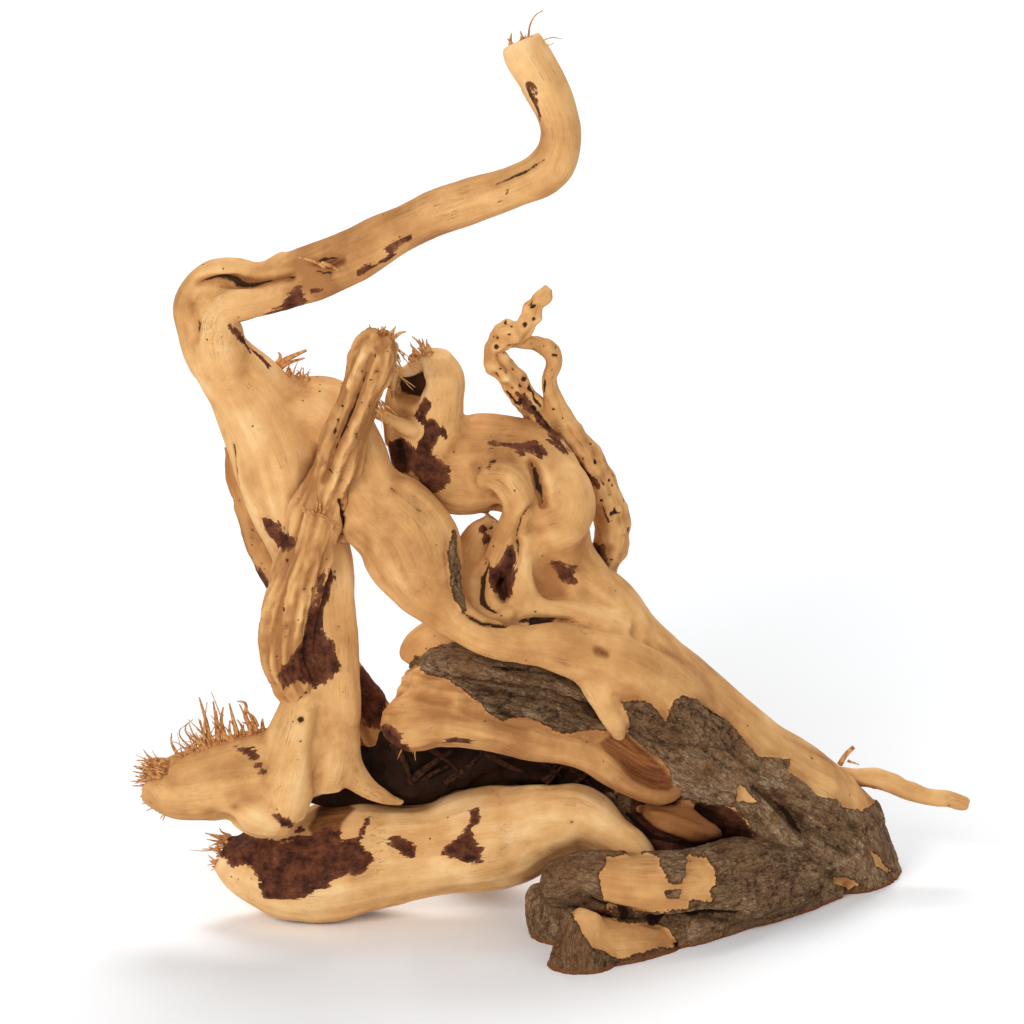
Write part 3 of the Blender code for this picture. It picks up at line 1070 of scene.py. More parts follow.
@dataclass(frozen=True)
class DriftwoodFinish:
    """Bare weathered wood with red-brown inner bark left in patches and grey-brown outer bark.

    Attributes:
        wood: Colours of bare wood, from its darkest streaks to its palest.
        tan: Colour of its broad warm clouds.
        grey: Colour of weathered limbs.
        rust_and_shade: Colours of rusty places and of the warm shade painted under the leg and in hollows, from dark
            to light.
        stain_and_shade: Colours of the inner bark left on it, which are also laid on the shaded limbs in the crotch as
            painted shade.
        bark: Colours of the outer bark, from its cracks to its worn ridges.
        inner: Colour of the bark's torn rim.
        crack: Painted shade, near black, deep in cracks, grooves, pits and worm holes, on the shaded limbs and inside
            the shade outlines.
        hollow: Painted shade, multiplied in where the wood is shut in.
        sawn: Colour of the sawn edge at the ground.
    """

    wood: tuple = (srgb(170, 116, 68), srgb(204, 150, 93), srgb(229, 177, 115), srgb(246, 205, 148))
    tan: tuple = srgb(199, 138, 78)
    grey: tuple = srgb(182, 148, 104)
    rust_and_shade: tuple = (srgb(96, 48, 22), srgb(168, 102, 52))
    stain_and_shade: tuple = (srgb(52, 26, 17), srgb(92, 50, 32), srgb(122, 72, 48), srgb(160, 106, 70))
    bark: tuple = (srgb(66, 44, 29), srgb(118, 88, 60), srgb(150, 117, 85), srgb(206, 182, 150))
    inner: tuple = srgb(100, 50, 26)
    crack: tuple = srgb(34, 17, 8)
    hollow: tuple = srgb(138, 76, 38)
    sawn: tuple = srgb(146, 86, 46)

    def material(self) -> bpy.types.Material:
        """Builds the material."""
        shades = Shades("weathered_wood")
        place = shades.place()
        grain = shades.attribute("grain")
        stain_and_shade_field, bark_field, dark = shades.parts(shades.attribute("marks"))
        split, rust_and_shade_field, bulge_shading = shades.parts(shades.attribute("tints"))
        height_above = shades.parts(place)[2]
        shut_in = shades.attribute("shut_in", "Fac")
        joined = shades.attribute("seam", "Fac")
        whole = 1 - joined
        streaks = shades.noise(shades.stretched(grain, (0.05, 0.8, 0.8)), 0.9, 5.0, 0.62, 0.3) - 0.5
        bands = shades.noise(shades.stretched(grain, (0.012, 0.16, 0.16)), 1.0, 2.0, 0.5, 0.4) - 0.5
        blotches = shades.noise(place, 0.035, 3.0, 0.6)
        specks = shades.noise(place, 0.9, 3.0, 0.7)

        # Painted light and shade: convex places are paler, hollow ones darker.
        tone = streaks * whole * 0.15 + bands * whole * 0.18 + blotches * 0.58 + specks * 0.10 + bulge_shading * 0.10
        tone = tone + (shades.noise(place, 0.15, 4.0, 0.65) - 0.5) * joined * 0.34
        low, middle, high, pale = self.wood
        wood = shades.ramp(tone + 0.245, [(0.28, low), (0.42, middle), (0.55, high), (0.70, pale)])
        wood = shades.mix(shades.noise(place, 0.022, 2.0).between(0.5, 0.74) * 0.35, wood, self.tan)
        wood = shades.mix((0 - rust_and_shade_field).between(0.0, 1.0) * (specks * 0.6 + 0.45), wood, self.grey)
        check = shades.noise(shades.stretched(grain, (0.03, 0.5, 0.5)), 1.0, 2.0, 0.5, 0.6)
        hairline = (1 - abs(check - 0.5).between(0.0, 0.010)) * shades.noise(place, 0.05, 2.0).between(0.54, 0.64)
        hairline = hairline * whole
        pore = shades.node("ShaderNodeTexVoronoi", {"feature": "F1"}, {"Vector": place, "Scale": 0.11},
                           output="Distance")
        pore = (1 - pore.between(0.04, 0.075)) * shades.noise(place, 0.03, 2.0).between(0.42, 0.52)
        wood = shades.mix(hairline * 0.5, wood, srgb(140, 86, 46))
        wood = shades.mix(pore * 0.85, wood, srgb(74, 38, 22))
        red_low, red_high = self.rust_and_shade
        rust_and_shade_colour = shades.ramp(streaks * 0.8 + blotches * 0.3 + 0.27, [(0.36, red_low), (0.62, red_high)])
        # Rust colours, which also paint warm shade under the leg and in hollows.
        wood = shades.mix((rust_and_shade_field + streaks * 0.7).between(0.15, 0.95) * 0.9, wood, rust_and_shade_colour)
        # Painted shade: the wood is darkened where it is shut in.
        wood = shades.mix(shut_in.between(0.25, 0.95) * 0.8, wood, self.hollow, "MULTIPLY")

        edge = shades.noise(place, 0.55, 4.0, 0.65) - 0.5
        tear = shades.noise(shades.stretched(grain, (0.08, 0.62, 0.62)), 1.0, 4.0, 0.65) - 0.5
        stain_and_shade_mask = (stain_and_shade_field + edge * 3.0 + tear * 6.0).between(-0.2, 0.3)
        mottle = shades.noise(place, 0.16, 5.0, 0.72) + streaks * 0.15 - stain_and_shade_field.between(-0.5, 2.6) * 0.16 + 0.09
        deep, red, light, thin = self.stain_and_shade
        stain_and_shade = shades.ramp(mottle, [(0.30, deep), (0.44, red), (0.60, light), (0.74, thin)])
        # Painted shade on the inner bark where it is shut in.
        stain_and_shade = shades.mix(shut_in.between(0.35, 0.9) * 0.9, stain_and_shade, srgb(120, 84, 66), "MULTIPLY")
        # Inner bark colours, laid also on the shaded limbs as painted shade.
        colour = shades.mix(stain_and_shade_mask, wood, stain_and_shade)

        barked = (bark_field + edge * 2.2).between(-0.12, 0.12)
        scales = shades.noise(shades.stretched(grain, (0.6, 0.95, 0.95)), 1.0, 6.0, 0.76, 0.9)
        fissure = 1 - abs(shades.noise(shades.stretched(grain, (0.09, 0.34, 0.34)), 1.0, 3.0) - 0.5).between(0, 0.05)
        cracked, dull, worn, silver = self.bark
        # Painted light and shade on the bark: convex places are paler, hollow ones darker.
        tint = scales * 0.95 + shades.noise(place, 0.05, 3.0) * 0.34 - split * 0.10 - 0.075 + bulge_shading * 0.06
        bark = shades.ramp(tint, [(0.30, cracked), (0.43, dull), (0.56, worn), (0.78, silver)])
        bark = shades.mix(fissure * 0.5, bark, cracked)
        bark = shades.mix(shades.noise(place, 0.04, 3.0, 0.6).between(0.5, 0.66) * 0.4, bark, srgb(132, 88, 56))
        # Painted shade on the bark where it is shut in.
        bark = shades.mix(shut_in.between(0.35, 0.95) * 0.9, bark, srgb(120, 84, 62), "MULTIPLY")
        rim = (1 - abs(bark_field).between(0.1, 1.0)) * 0.7
        bark = shades.mix(rim, bark, self.inner)
        colour = shades.mix(barked, colour, bark)
        # Painted shade in cracks, grooves, pits, worm holes, shaded limbs and shade outlines.
        colour = shades.mix((dark + edge * 0.5).between(0.25, 0.75) * 0.94, colour, self.crack)
        sawn = 1 - (height_above + edge * 5.0 + tear * 3.0).between(1.2, 2.6)
        colour = shades.mix(sawn * 0.85, colour, self.sawn)

        roughness = 0.6 + specks * 0.2 + barked * 0.14
        height = streaks * 0.22 * whole + specks * 0.08 - hairline * 0.2 - pore * 0.4
        height = height * (1 - barked) + (scales * 1.1 - fissure * 0.5) * barked + stain_and_shade_mask * (scales * 0.5 + 0.15)
        return shades.finish(colour, roughness, height, 0.9)


@dataclass(frozen=True)
class FibreFinish:
    """Torn wood fibre.

    Attributes:
        name: The material's name.
        dark: Its darkest colour.
        light: Its palest.
    """

    name: str = "torn_fibre"
    dark: tuple = srgb(168, 104, 54)
    light: tuple = srgb(226, 170, 108)

    def material(self) -> bpy.types.Material:
        """Builds the material."""
        shades = Shades(self.name)
        place = shades.place()
        tone = shades.noise(place, 0.5, 3.0)
        colour = shades.ramp(tone, [(0.35, self.dark), (0.62, self.light)])
        roughness = 0.7 + tone * 0.15
        return shades.finish(colour, roughness, shades.noise(place, 2.0, 3.0) * 0.3)


@dataclass(frozen=True)
class FloorFinish:
    """A plain pale floor.

    Attributes:
        colour: Its colour.
    """

    colour: tuple = srgb(250, 251, 252)

    def material(self) -> bpy.types.Material:
        """Builds the material."""
        shades = Shades("pale_floor")
        shades.shader.inputs["Base Color"].default_value = self.colour
        shades.shader.inputs["Roughness"].default_value = 0.9
        shades.shader.inputs["Specular IOR Level"].default_value = 0.1
        shades.shader.inputs["Emission Color"].default_value = (1, 1, 1, 1)
        shades.shader.inputs["Emission Strength"].default_value = 0.05
        return shades.material


@dataclass
class Fibre:
    """One torn fibre or splinter.

    Attributes:
        route: Places of across, up and back.
        thickness: Half width at its root, in millimetres.
        tip: Half width at its tip, as a share of that.
    """

    route: list[Spot]
    thickness: float = 0.6
    tip: float = 0.25

    def add_curve(self) -> bpy.types.Object:
        """Adds the fibre as a tapering curve."""
        curve, spline = round_curve("fibre", 1, 4, len(self.route))
        last = len(self.route) - 1
        for index, (knot, (across, up, back)) in enumerate(zip(spline.bezier_points, self.route)):
            place = from_drawing(np.array([[across, up, out_of_page(up, back)]]))[0]
            knot.co = place * MM
            knot.radius = self.thickness * (1 - (1 - self.tip) * index / last)
            knot.handle_left_type = knot.handle_right_type = "AUTO"
        return add_object("fibre", curve)


@dataclass
class Tuft:
    """Fibres torn out of one broken end.

    Attributes:
        name: The piece's name.
        fibres: The fibres drawn one by one.
        seed: Picks the bends of the rest.
    """

    name: str
    fibres: list[Fibre] = field(default_factory=list)
    seed: int = 1

    def scatter(self, count: int, start: tuple[Spot, Spot], lean: Spot, length: tuple[float, float],
                thickness: float = 0.5, bend: float = 0.35) -> None:
        """Adds fibres along a line.

        Args:
            count: How many.
            start: The line's two ends, of across, up and back.
            lean: The way they point, of across, up and back.
            length: Shortest and longest.
            thickness: Half width at the root.
            bend: How far they curl, as a share of their length.
        """
        draw = random.Random(self.seed * 1000 + len(self.fibres))
        first, second = (np.array(end, float) for end in start)
        way = np.array(lean, float)
        way /= np.linalg.norm(way)
        for _ in range(count):
            root = first + (second - first) * draw.random()
            root += [draw.gauss(0, 0.8) for _ in range(3)]
            reach = draw.uniform(*length)
            aim = way + np.array([draw.gauss(0, 0.28) for _ in range(3)])
            curl = np.array([draw.gauss(0, bend) for _ in range(3)]) * reach
            middle = root + aim * reach * 0.5 + curl * 0.3
            tip = root + aim * reach + curl
            route = [tuple(root - aim * 3), tuple(root), tuple(middle), tuple(tip)]
            self.fibres.append(Fibre(route, thickness * draw.uniform(0.7, 1.4)))

    def build(self, material: bpy.types.Material) -> bpy.types.Object:
        """Builds the tuft as one piece and reports it.

        Args:
            material: The fibre.

        Returns:
            The finished piece.
        """
        piece = gather(self.name, [fibre.add_curve() for fibre in self.fibres])
        dress(piece, material)
        log.info("%s: %d fibres, %d faces", self.name, len(self.fibres), len(piece.data.polygons))
        return piece


# How far along the grain the plate is where the stump's part of it takes over.
PLATE_JOIN = 5113.0

TRUNK_LIMBS = [
    Limb("crown_branch", 0.95, [
        (-140, 322, 35, 9), (-122, 327, 33, 13), (-100, 334, 30, 14), (-80, 342.3, 26, 13),
        (-60, 353, 21, 12.3), (-40, 362.5, 16, 12.4), (-20, 369, 11, 12), (0, 375.5, 6, 11),
        (19, 386, 3, 11.6), (24.5, 400, 3, 10.7), (23, 411, 4, 10.6), (19, 421, 7, 11.2),
        (14, 431, 10, 11.4), (8.5, 440, 13, 11.6), (4.5, 448, 15, 10),
    ], 0.16, tone=-2.0, fade=2.8),
    Limb("elbow_upper_strand", 0.9, [
        (-146, 272, 38, 5), (-154, 289, 35, 8.5), (-159.5, 306, 34, 9), (-159, 320, 34, 9.5), (-152, 331, 34, 8),
        (-139, 335, 33, 6.5), (-126, 333, 32, 6.5), (-112, 337, 30, 8),
    ], tone=-0.3),
    Limb("elbow_lower_strand", 0.9, [
        (-126, 256, 40, 8), (-136, 274, 37, 12), (-144, 290, 34, 14), (-148, 305, 31, 13.5), (-144, 316, 29, 10),
        (-133, 320, 28, 9.5), (-120, 323, 28, 9.5), (-104, 330, 28, 11),
    ], tone=-0.2),
    Limb("left_trunk", 0.72, [
        (-155, 308, 35, 12), (-147, 294, 36, 16), (-130, 272, 36, 21.5), (-119.5, 250, 34, 25),
        (-111, 222, 31, 24), (-102, 195, 28, 20.5), (-97, 160, 22, 18.5), (-96, 130, 18, 19),
        (-96, 112, 16, 20), (-98, 92, 14, 20), (-100, 78, 14, 16),
    ], tone=0.3),
    Limb("left_trunk_heel", 0.9, [
        (-101, 130, 16, 12), (-105, 112, 10, 15), (-111, 92, 3, 16), (-114, 75, -1, 14.5), (-115, 60, 0, 11),
    ], tone=-0.3),
    Limb("left_trunk_toe", 0.9, [
        (-90, 104, 14, 14), (-84, 88, 14, 9.5), (-75, 77, 15, 6), (-63, 70, 19, 3.6), (-55, 67.5, 24, 2.0),
    ]),
    Limb("cut_root", 0.9, [
        (-183, 79, 12, 11), (-172, 76.5, 10, 15.5), (-155, 78, 8, 19), (-140, 80.5, 8, 22),
        (-125, 84, 11, 23), (-110, 92, 16, 19), (-100, 102, 20, 14),
    ], tone=-0.9),
    Limb("knuckle", 0.9, [(-134, 70, 4, 16), (-124, 64, 2, 16), (-112, 64, 3, 13)], tone=0.6),
    Limb("ankle", 0.9, [(-106, 80, 26, 10), (-88, 74, 34, 9), (-66, 72, 42, 9)]),
    Limb("shoulder", 0.8, [
        (-122, 272, 36, 14), (-106, 266, 36, 16), (-92, 264, 34, 17), (-80, 248, 26, 15),
        (-72, 230, 20, 15), (-64, 214, 16, 18),
    ]),
    Limb("sweeping_plate", 0.6, [
        (-86, 238, 20, 18), (-71, 219, 17, 22), (-55, 205, 14, 25.5), (-47, 187, 10, 24),
        (-39, 172, 6, 16), (-27, 160, 1, 10.5), (-13, 152, -3, 9.5), (3, 148, -4, 9.8), (14, 147, -3.6, 8.4),
        (24, 146.5, -1, 5),
    ], start=5000, tone=-0.9),
]
FRONT_LIMBS = [
    Limb("front_limb", 0.95, [
        (-65, 303, 0, 7.5), (-68, 294, -1, 12), (-76, 273, 0, 11), (-85, 250, 3, 11.5),
        (-92, 230, 6, 10.5), (-97, 213, 7, 11.8), (-101, 198, 8, 11.6), (-107, 182, 9, 12.6),
        (-111.5, 165, 9, 13.8), (-113, 150, 9, 14), (-112, 138, 10, 12.5), (-106, 124, 12, 10),
    ], 0.26, ribs=2.2, knobs=0.5, weather=0.6, tone=-1.7, holes=0.3),
    Limb("front_limb_flank", 0.9, [
        (-64, 288, 6, 5), (-74, 268, 9, 6), (-80, 250, 12, 8), (-83, 232, 14, 8.5), (-83, 214, 16, 7),
        (-86, 202, 18, 5),
    ], 0.22, ribs=1.8, knobs=0.4, weather=0.3, tone=-1.4),
]
STUMP_LIMBS = [
    Limb("bridge_twig", 0.95, [
        (-76, 268, 10, 4), (-68, 264, 18, 3.6), (-58, 259, 28, 3.6), (-49, 255, 34, 5),
    ]),
    Limb("plate_tail", 0.6, [
        (-18, 154.5, -2.4, 5.5), (-8, 150.5, -3.4, 8.6), (3, 148, -4, 10), (20, 146.5, -3, 12),
        (42, 140.5, 3, 16), (66, 126, 14, 19), (88, 108, 28, 20), (108, 90, 40, 20),
    ], start=PLATE_JOIN, tone=-1.1),
    Limb("ridge", 0.92, [
        (8, 190, 42, 18), (34, 166, 40, 25), (55, 139, 38, 27), (85, 109, 44, 29), (112, 84, 54, 31),
        (140, 65, 70, 33), (158, 50, 86, 30),
    ], tone=-0.7),
    Limb("stump_front", 0.85, [
        (66, 110, 28, 20), (84, 94, 30, 22), (106, 80, 36, 20), (126, 62, 48, 23), (150, 48, 70, 25),
        (167, 38, 92, 23),
    ]),
    Limb("stump_right", 0.95, [
        (148, 64, 74, 30), (161, 45, 88, 29), (169, 27, 101, 27), (170, 9, 112, 27),
    ]),
    Limb("stump_heart", 1, [(52, 66, 46, 18), (84, 48, 48, 24), (118, 38, 64, 26), (150, 28, 98, 26)]),
    Limb("stump_sole", 0.9, [(80, 6, -8, 14), (100, 14, 16, 18), (124, 23, 44, 24), (148, 33, 74, 26)]),
    Limb("band_root", 0.95, [
        (20, 27, -4, 10), (36, 29.5, -11, 13), (58, 26.5, -15, 15.5), (84, 26, -8, 15.5),
        (106, 28, 8, 17.5), (130, 29, 38, 19), (152, 31, 76, 18), (172, 36, 98, 13),
    ], tone=-0.6),
    Limb("band_root_underside", 0.9, [
        (20, 24, 3, 12), (24, 12, 3, 15), (31, 0, -2, 13.5), (46, 3, -8, 13),
    ]),
    Limb("front_foot", 0.9, [
        (39, 13.5, -34, 7), (36, 5, -38, 11), (35, -7, -41, 14), (35, -20, -44, 15.5),
    ], tone=-1.2),
    Limb("front_foot_spur", 0.9, [
        (32, -3, -38, 13), (48, -3, -32, 13.5), (66, -2, -20, 12), (88, 3, -2, 8.5), (106, 6, 13, 7),
        (120, 7, 22, 4),
    ], tone=-1.6),
    Limb("front_foot_web", 0.9, [(40, 2, -14, 12), (60, 5, -2, 12), (84, 8, 14, 11), (110, 12, 34, 12)]),
    Limb("recessed_strip", 0.8, [
        (-44, 133, 26, 10), (-28, 134, 22, 14), (-4, 126, 19, 15), (20, 121, 18, 15), (42, 112, 20, 15),
        (64, 104, 24, 14),
    ]),
    Limb("crotch_roots", 0.95, [
        (-66, 104, 44, 13), (-60, 90, 46, 14), (-38, 84, 48, 13), (-12, 87, 48, 13), (15, 86, 48, 13),
        (44, 76, 46, 14), (66, 62, 46, 15),
    ], 0.34, ribs=1.4, knobs=1.6),
    Limb("cavity_lobe", 0.9, [
        (64, 65, 28, 2), (72, 62.5, 20, 5.6), (82, 60, 16, 8.2), (93, 55.5, 17, 7.2), (101, 52, 22, 4),
        (105, 50.5, 28, 2),
    ], 0.3, ribs=1.6, weather=-0.6, tone=-2.6),
    Limb("crevice_web", 0.9, [(-16, 163, 22, 6), (4, 158, 17, 7.5), (26, 160, 16, 7)]),
    Limb("lobe_foot", 0.9, [(-74, 76, 36, 8), (-56, 75, 36, 9), (-38, 76, 38, 9)]),
    Limb("plate_tongue", 0.6, [(38, 136, -1, 9), (45, 122, -1, 7.6), (51, 110, 2, 6.2), (54, 101, 9, 4)]),
    Limb("rear_root", 0.95, [
        (66, 140, 56, 25), (42, 122, 66, 21), (16, 98, 78, 17), (-5, 74, 87, 14.5), (-15, 50, 91, 13.5),
        (-18, 32, 91, 15), (-20, 20, 91, 18),
    ]),
    Limb("dark_lobe", 0.9, [(-63, 84, 30, 11), (-50, 82, 32, 13.5), (-32, 85, 36, 13), (-10, 95, 38, 12)],
         0.34, ribs=1.4, knobs=1.6),
    Limb("rear_lobe", 0.9, [
        (-50, 137, 34, 9), (-44, 146, 34, 11.5), (-28, 150, 34, 11), (-6, 150, 32, 10),
    ]),
    Limb("head", 0.9, [(-39, 294, 46, 9), (-39, 284, 46, 15.8), (-39, 268, 46, 15.5), (-42, 248, 46, 17)], tone=0.1),
    Limb("head_cheek", 0.9, [(-55, 288, 42, 3.5), (-59, 275, 41, 4), (-60, 262, 40, 5), (-58, 248, 41, 6)]),
    Limb("throat", 0.76, [
        (-47, 262, 46, 15), (-44, 246, 46, 18.5), (-30, 237.5, 46, 24.5), (-10, 238.5, 45, 24),
        (7, 235, 44, 24), (16, 222, 43, 21.5), (19, 205, 42, 19), (22, 190, 42, 20), (32, 172, 40, 22),
    ], tone=-0.9),
    Limb("throat_inner_strand", 0.9, [
        (-16, 233, 28, 7), (-2, 229, 23, 9), (3, 215, 22, 8.5), (-2, 203, 23, 7.5), (-8, 191, 24, 6.5),
        (-13, 179, 25, 6), (-12, 168, 23, 6), (-3, 160, 18, 5.5),
    ], tone=-1.0),
    Limb("throat_outer_strand", 0.9, [
        (10, 238, 42, 7), (21, 235, 40, 10), (28, 224, 36, 12), (27, 210, 31, 12.5), (14, 203, 27, 11.5),
        (8, 191, 25, 10), (6, 178, 23, 9.5),
        (11, 167, 19, 8.5), (30, 162, 17, 9), (56, 151, 20, 10),
    ]),
    Limb("throat_back_strand", 0.9, [
        (-10, 206, 46, 9), (-6, 190, 44, 12), (-4, 176, 38, 13), (2, 163, 30, 12),
    ]),
    Limb("arched_strand", 0.9, [
        (-6, 208, 42, 7), (-16, 200, 39, 9.5), (-21, 187, 34, 9), (-20, 174, 28, 8.5), (-13, 164, 20, 7.5),
        (2, 160, 12, 6.5),
    ]),
]
JAW_LIMBS = [
    Limb("jaw_root", 0.85, [
        (-54, 122, 24, 13), (-45, 121, 21, 20), (-28, 119.5, 17, 20.5), (-5, 117, 14, 17.5), (20, 112, 13, 15.5),
        (42, 102, 14, 14), (62, 90, 18, 13.5), (80, 84, 26, 12),
    ], 0.2, ribs=0.9, tone=-0.3, fade=-2.4),
    Limb("jaw_lip", 0.95, [
        (-60, 108, 17, 9), (-51, 109, 10, 14.5), (-37, 110, 6, 12.5), (-17.5, 106.5, 3, 10.5), (11.5, 99, 1, 9.8),
        (38, 92, 2, 8.6), (54, 81, 4, 7), (68, 74, 8, 6.2), (78, 73, 14, 5.6), (83, 79, 20, 5),
    ], 0.18, ribs=0.7, tone=-1.2, fade=-1.2),
]
LONG_LIMBS = [
    Limb("long_root", 0.92, [
        (-146, 42, 34, 9), (-139, 39, 33, 15), (-124, 36.2, 31, 24), (-102, 36.1, 30, 29.7),
        (-80, 40, 31, 31), (-60, 42, 30, 27), (-40, 44, 30, 25), (-20, 48.5, 30, 28), (0, 51.5, 30, 27),
        (20, 57, 26, 21), (38, 58, 20, 17.5), (50, 51, 14, 13), (60, 43, 10, 11), (66, 32, 10, 9),
    ], tone=0.6),
]
REAR_LIMBS = [
    Limb("rear_limb", 0.9, [
        (-141, 247, 60, 3), (-138, 236, 60, 6.2), (-131, 217, 58, 8), (-124, 198, 56, 8.5),
        (-114, 178, 52, 9), (-103, 157, 48, 9.5), (-92, 142, 48, 10), (-82, 128, 48, 10),
        (-72, 114, 46, 12), (-66, 100, 45, 14),
    ], 0.24, ribs=1.0, knobs=0.5, tone=-1.7, holes=0.35),
]
SIDE_LIMBS = [
    Limb("side_twig", 0.95, [
        (162, 80, 86, 5), (176, 79.5, 90, 4.5), (188, 78, 92, 4.9), (199, 73.5, 92, 4.6),
        (211, 69.5, 90, 4.1), (222, 68, 89, 4), (229, 66, 88, 3.6), (231.5, 65.5, 88, 2.4),
    ], 0.12, ribs=0.5, knobs=0.5, weather=-0.25),
]
TWIGS_LIMBS = [
    Limb("knobbly_twig", 0.95, [
        (18, 326.5, 48, 2.6), (15, 322.5, 48, 4.4), (11.5, 317.5, 48, 5.0), (8, 311, 48, 5.2), (4.5, 305.5, 48.5, 5.4),
        (-2, 303.5, 49, 7.2), (-7.5, 299, 50, 4.8), (-9, 291, 51, 4.8), (-5, 286, 52, 6.2), (1, 279, 53, 6.2),
        (9, 268, 55, 6.4), (17, 257, 57, 6.4), (25, 246, 59, 6.6), (33, 234, 60, 6), (38, 226, 61, 4),
    ], 0.2, ribs=0.9, knobs=2.2, tone=-0.7, holes=1.0),
    Limb("looped_twig", 0.95, [
        (-3, 301, 50, 4.4), (6, 299, 52, 3.8), (14, 298, 54, 4.0), (19, 295, 55, 5), (20.5, 289, 56, 4.4),
        (19, 281, 57, 4.2), (21, 271, 58, 5), (26, 260, 59, 6), (34, 248, 61, 7.2), (42, 234, 62, 8.2),
        (48, 220, 63, 8.6), (51, 206, 63, 9), (49.5, 195, 62, 9), (45, 185, 60, 9), (38, 176, 54, 9),
    ], 0.2, ribs=0.7, knobs=1.3, tone=-0.7, holes=0.6),
]


BARKED_LIMBS = ("recessed_strip", "stump_heart", "stump_sole", "band_root_underside")
# Limbs deep in the crotch, which lie in shade and get painted shade over inner bark colours.
SHADED_LIMBS = ("crotch_roots", "dark_lobe", "throat_back_strand", "ankle", "crevice_web", "lobe_foot")
STUMP_FACE = ("ridge", "stump_front", "stump_right", "plate_tail", "band_root", "stump_heart", "stump_sole",
              "recessed_strip")
FOOT = ("front_foot", "front_foot_spur", "front_foot_web")
JAW = ("jaw_root", "jaw_lip")

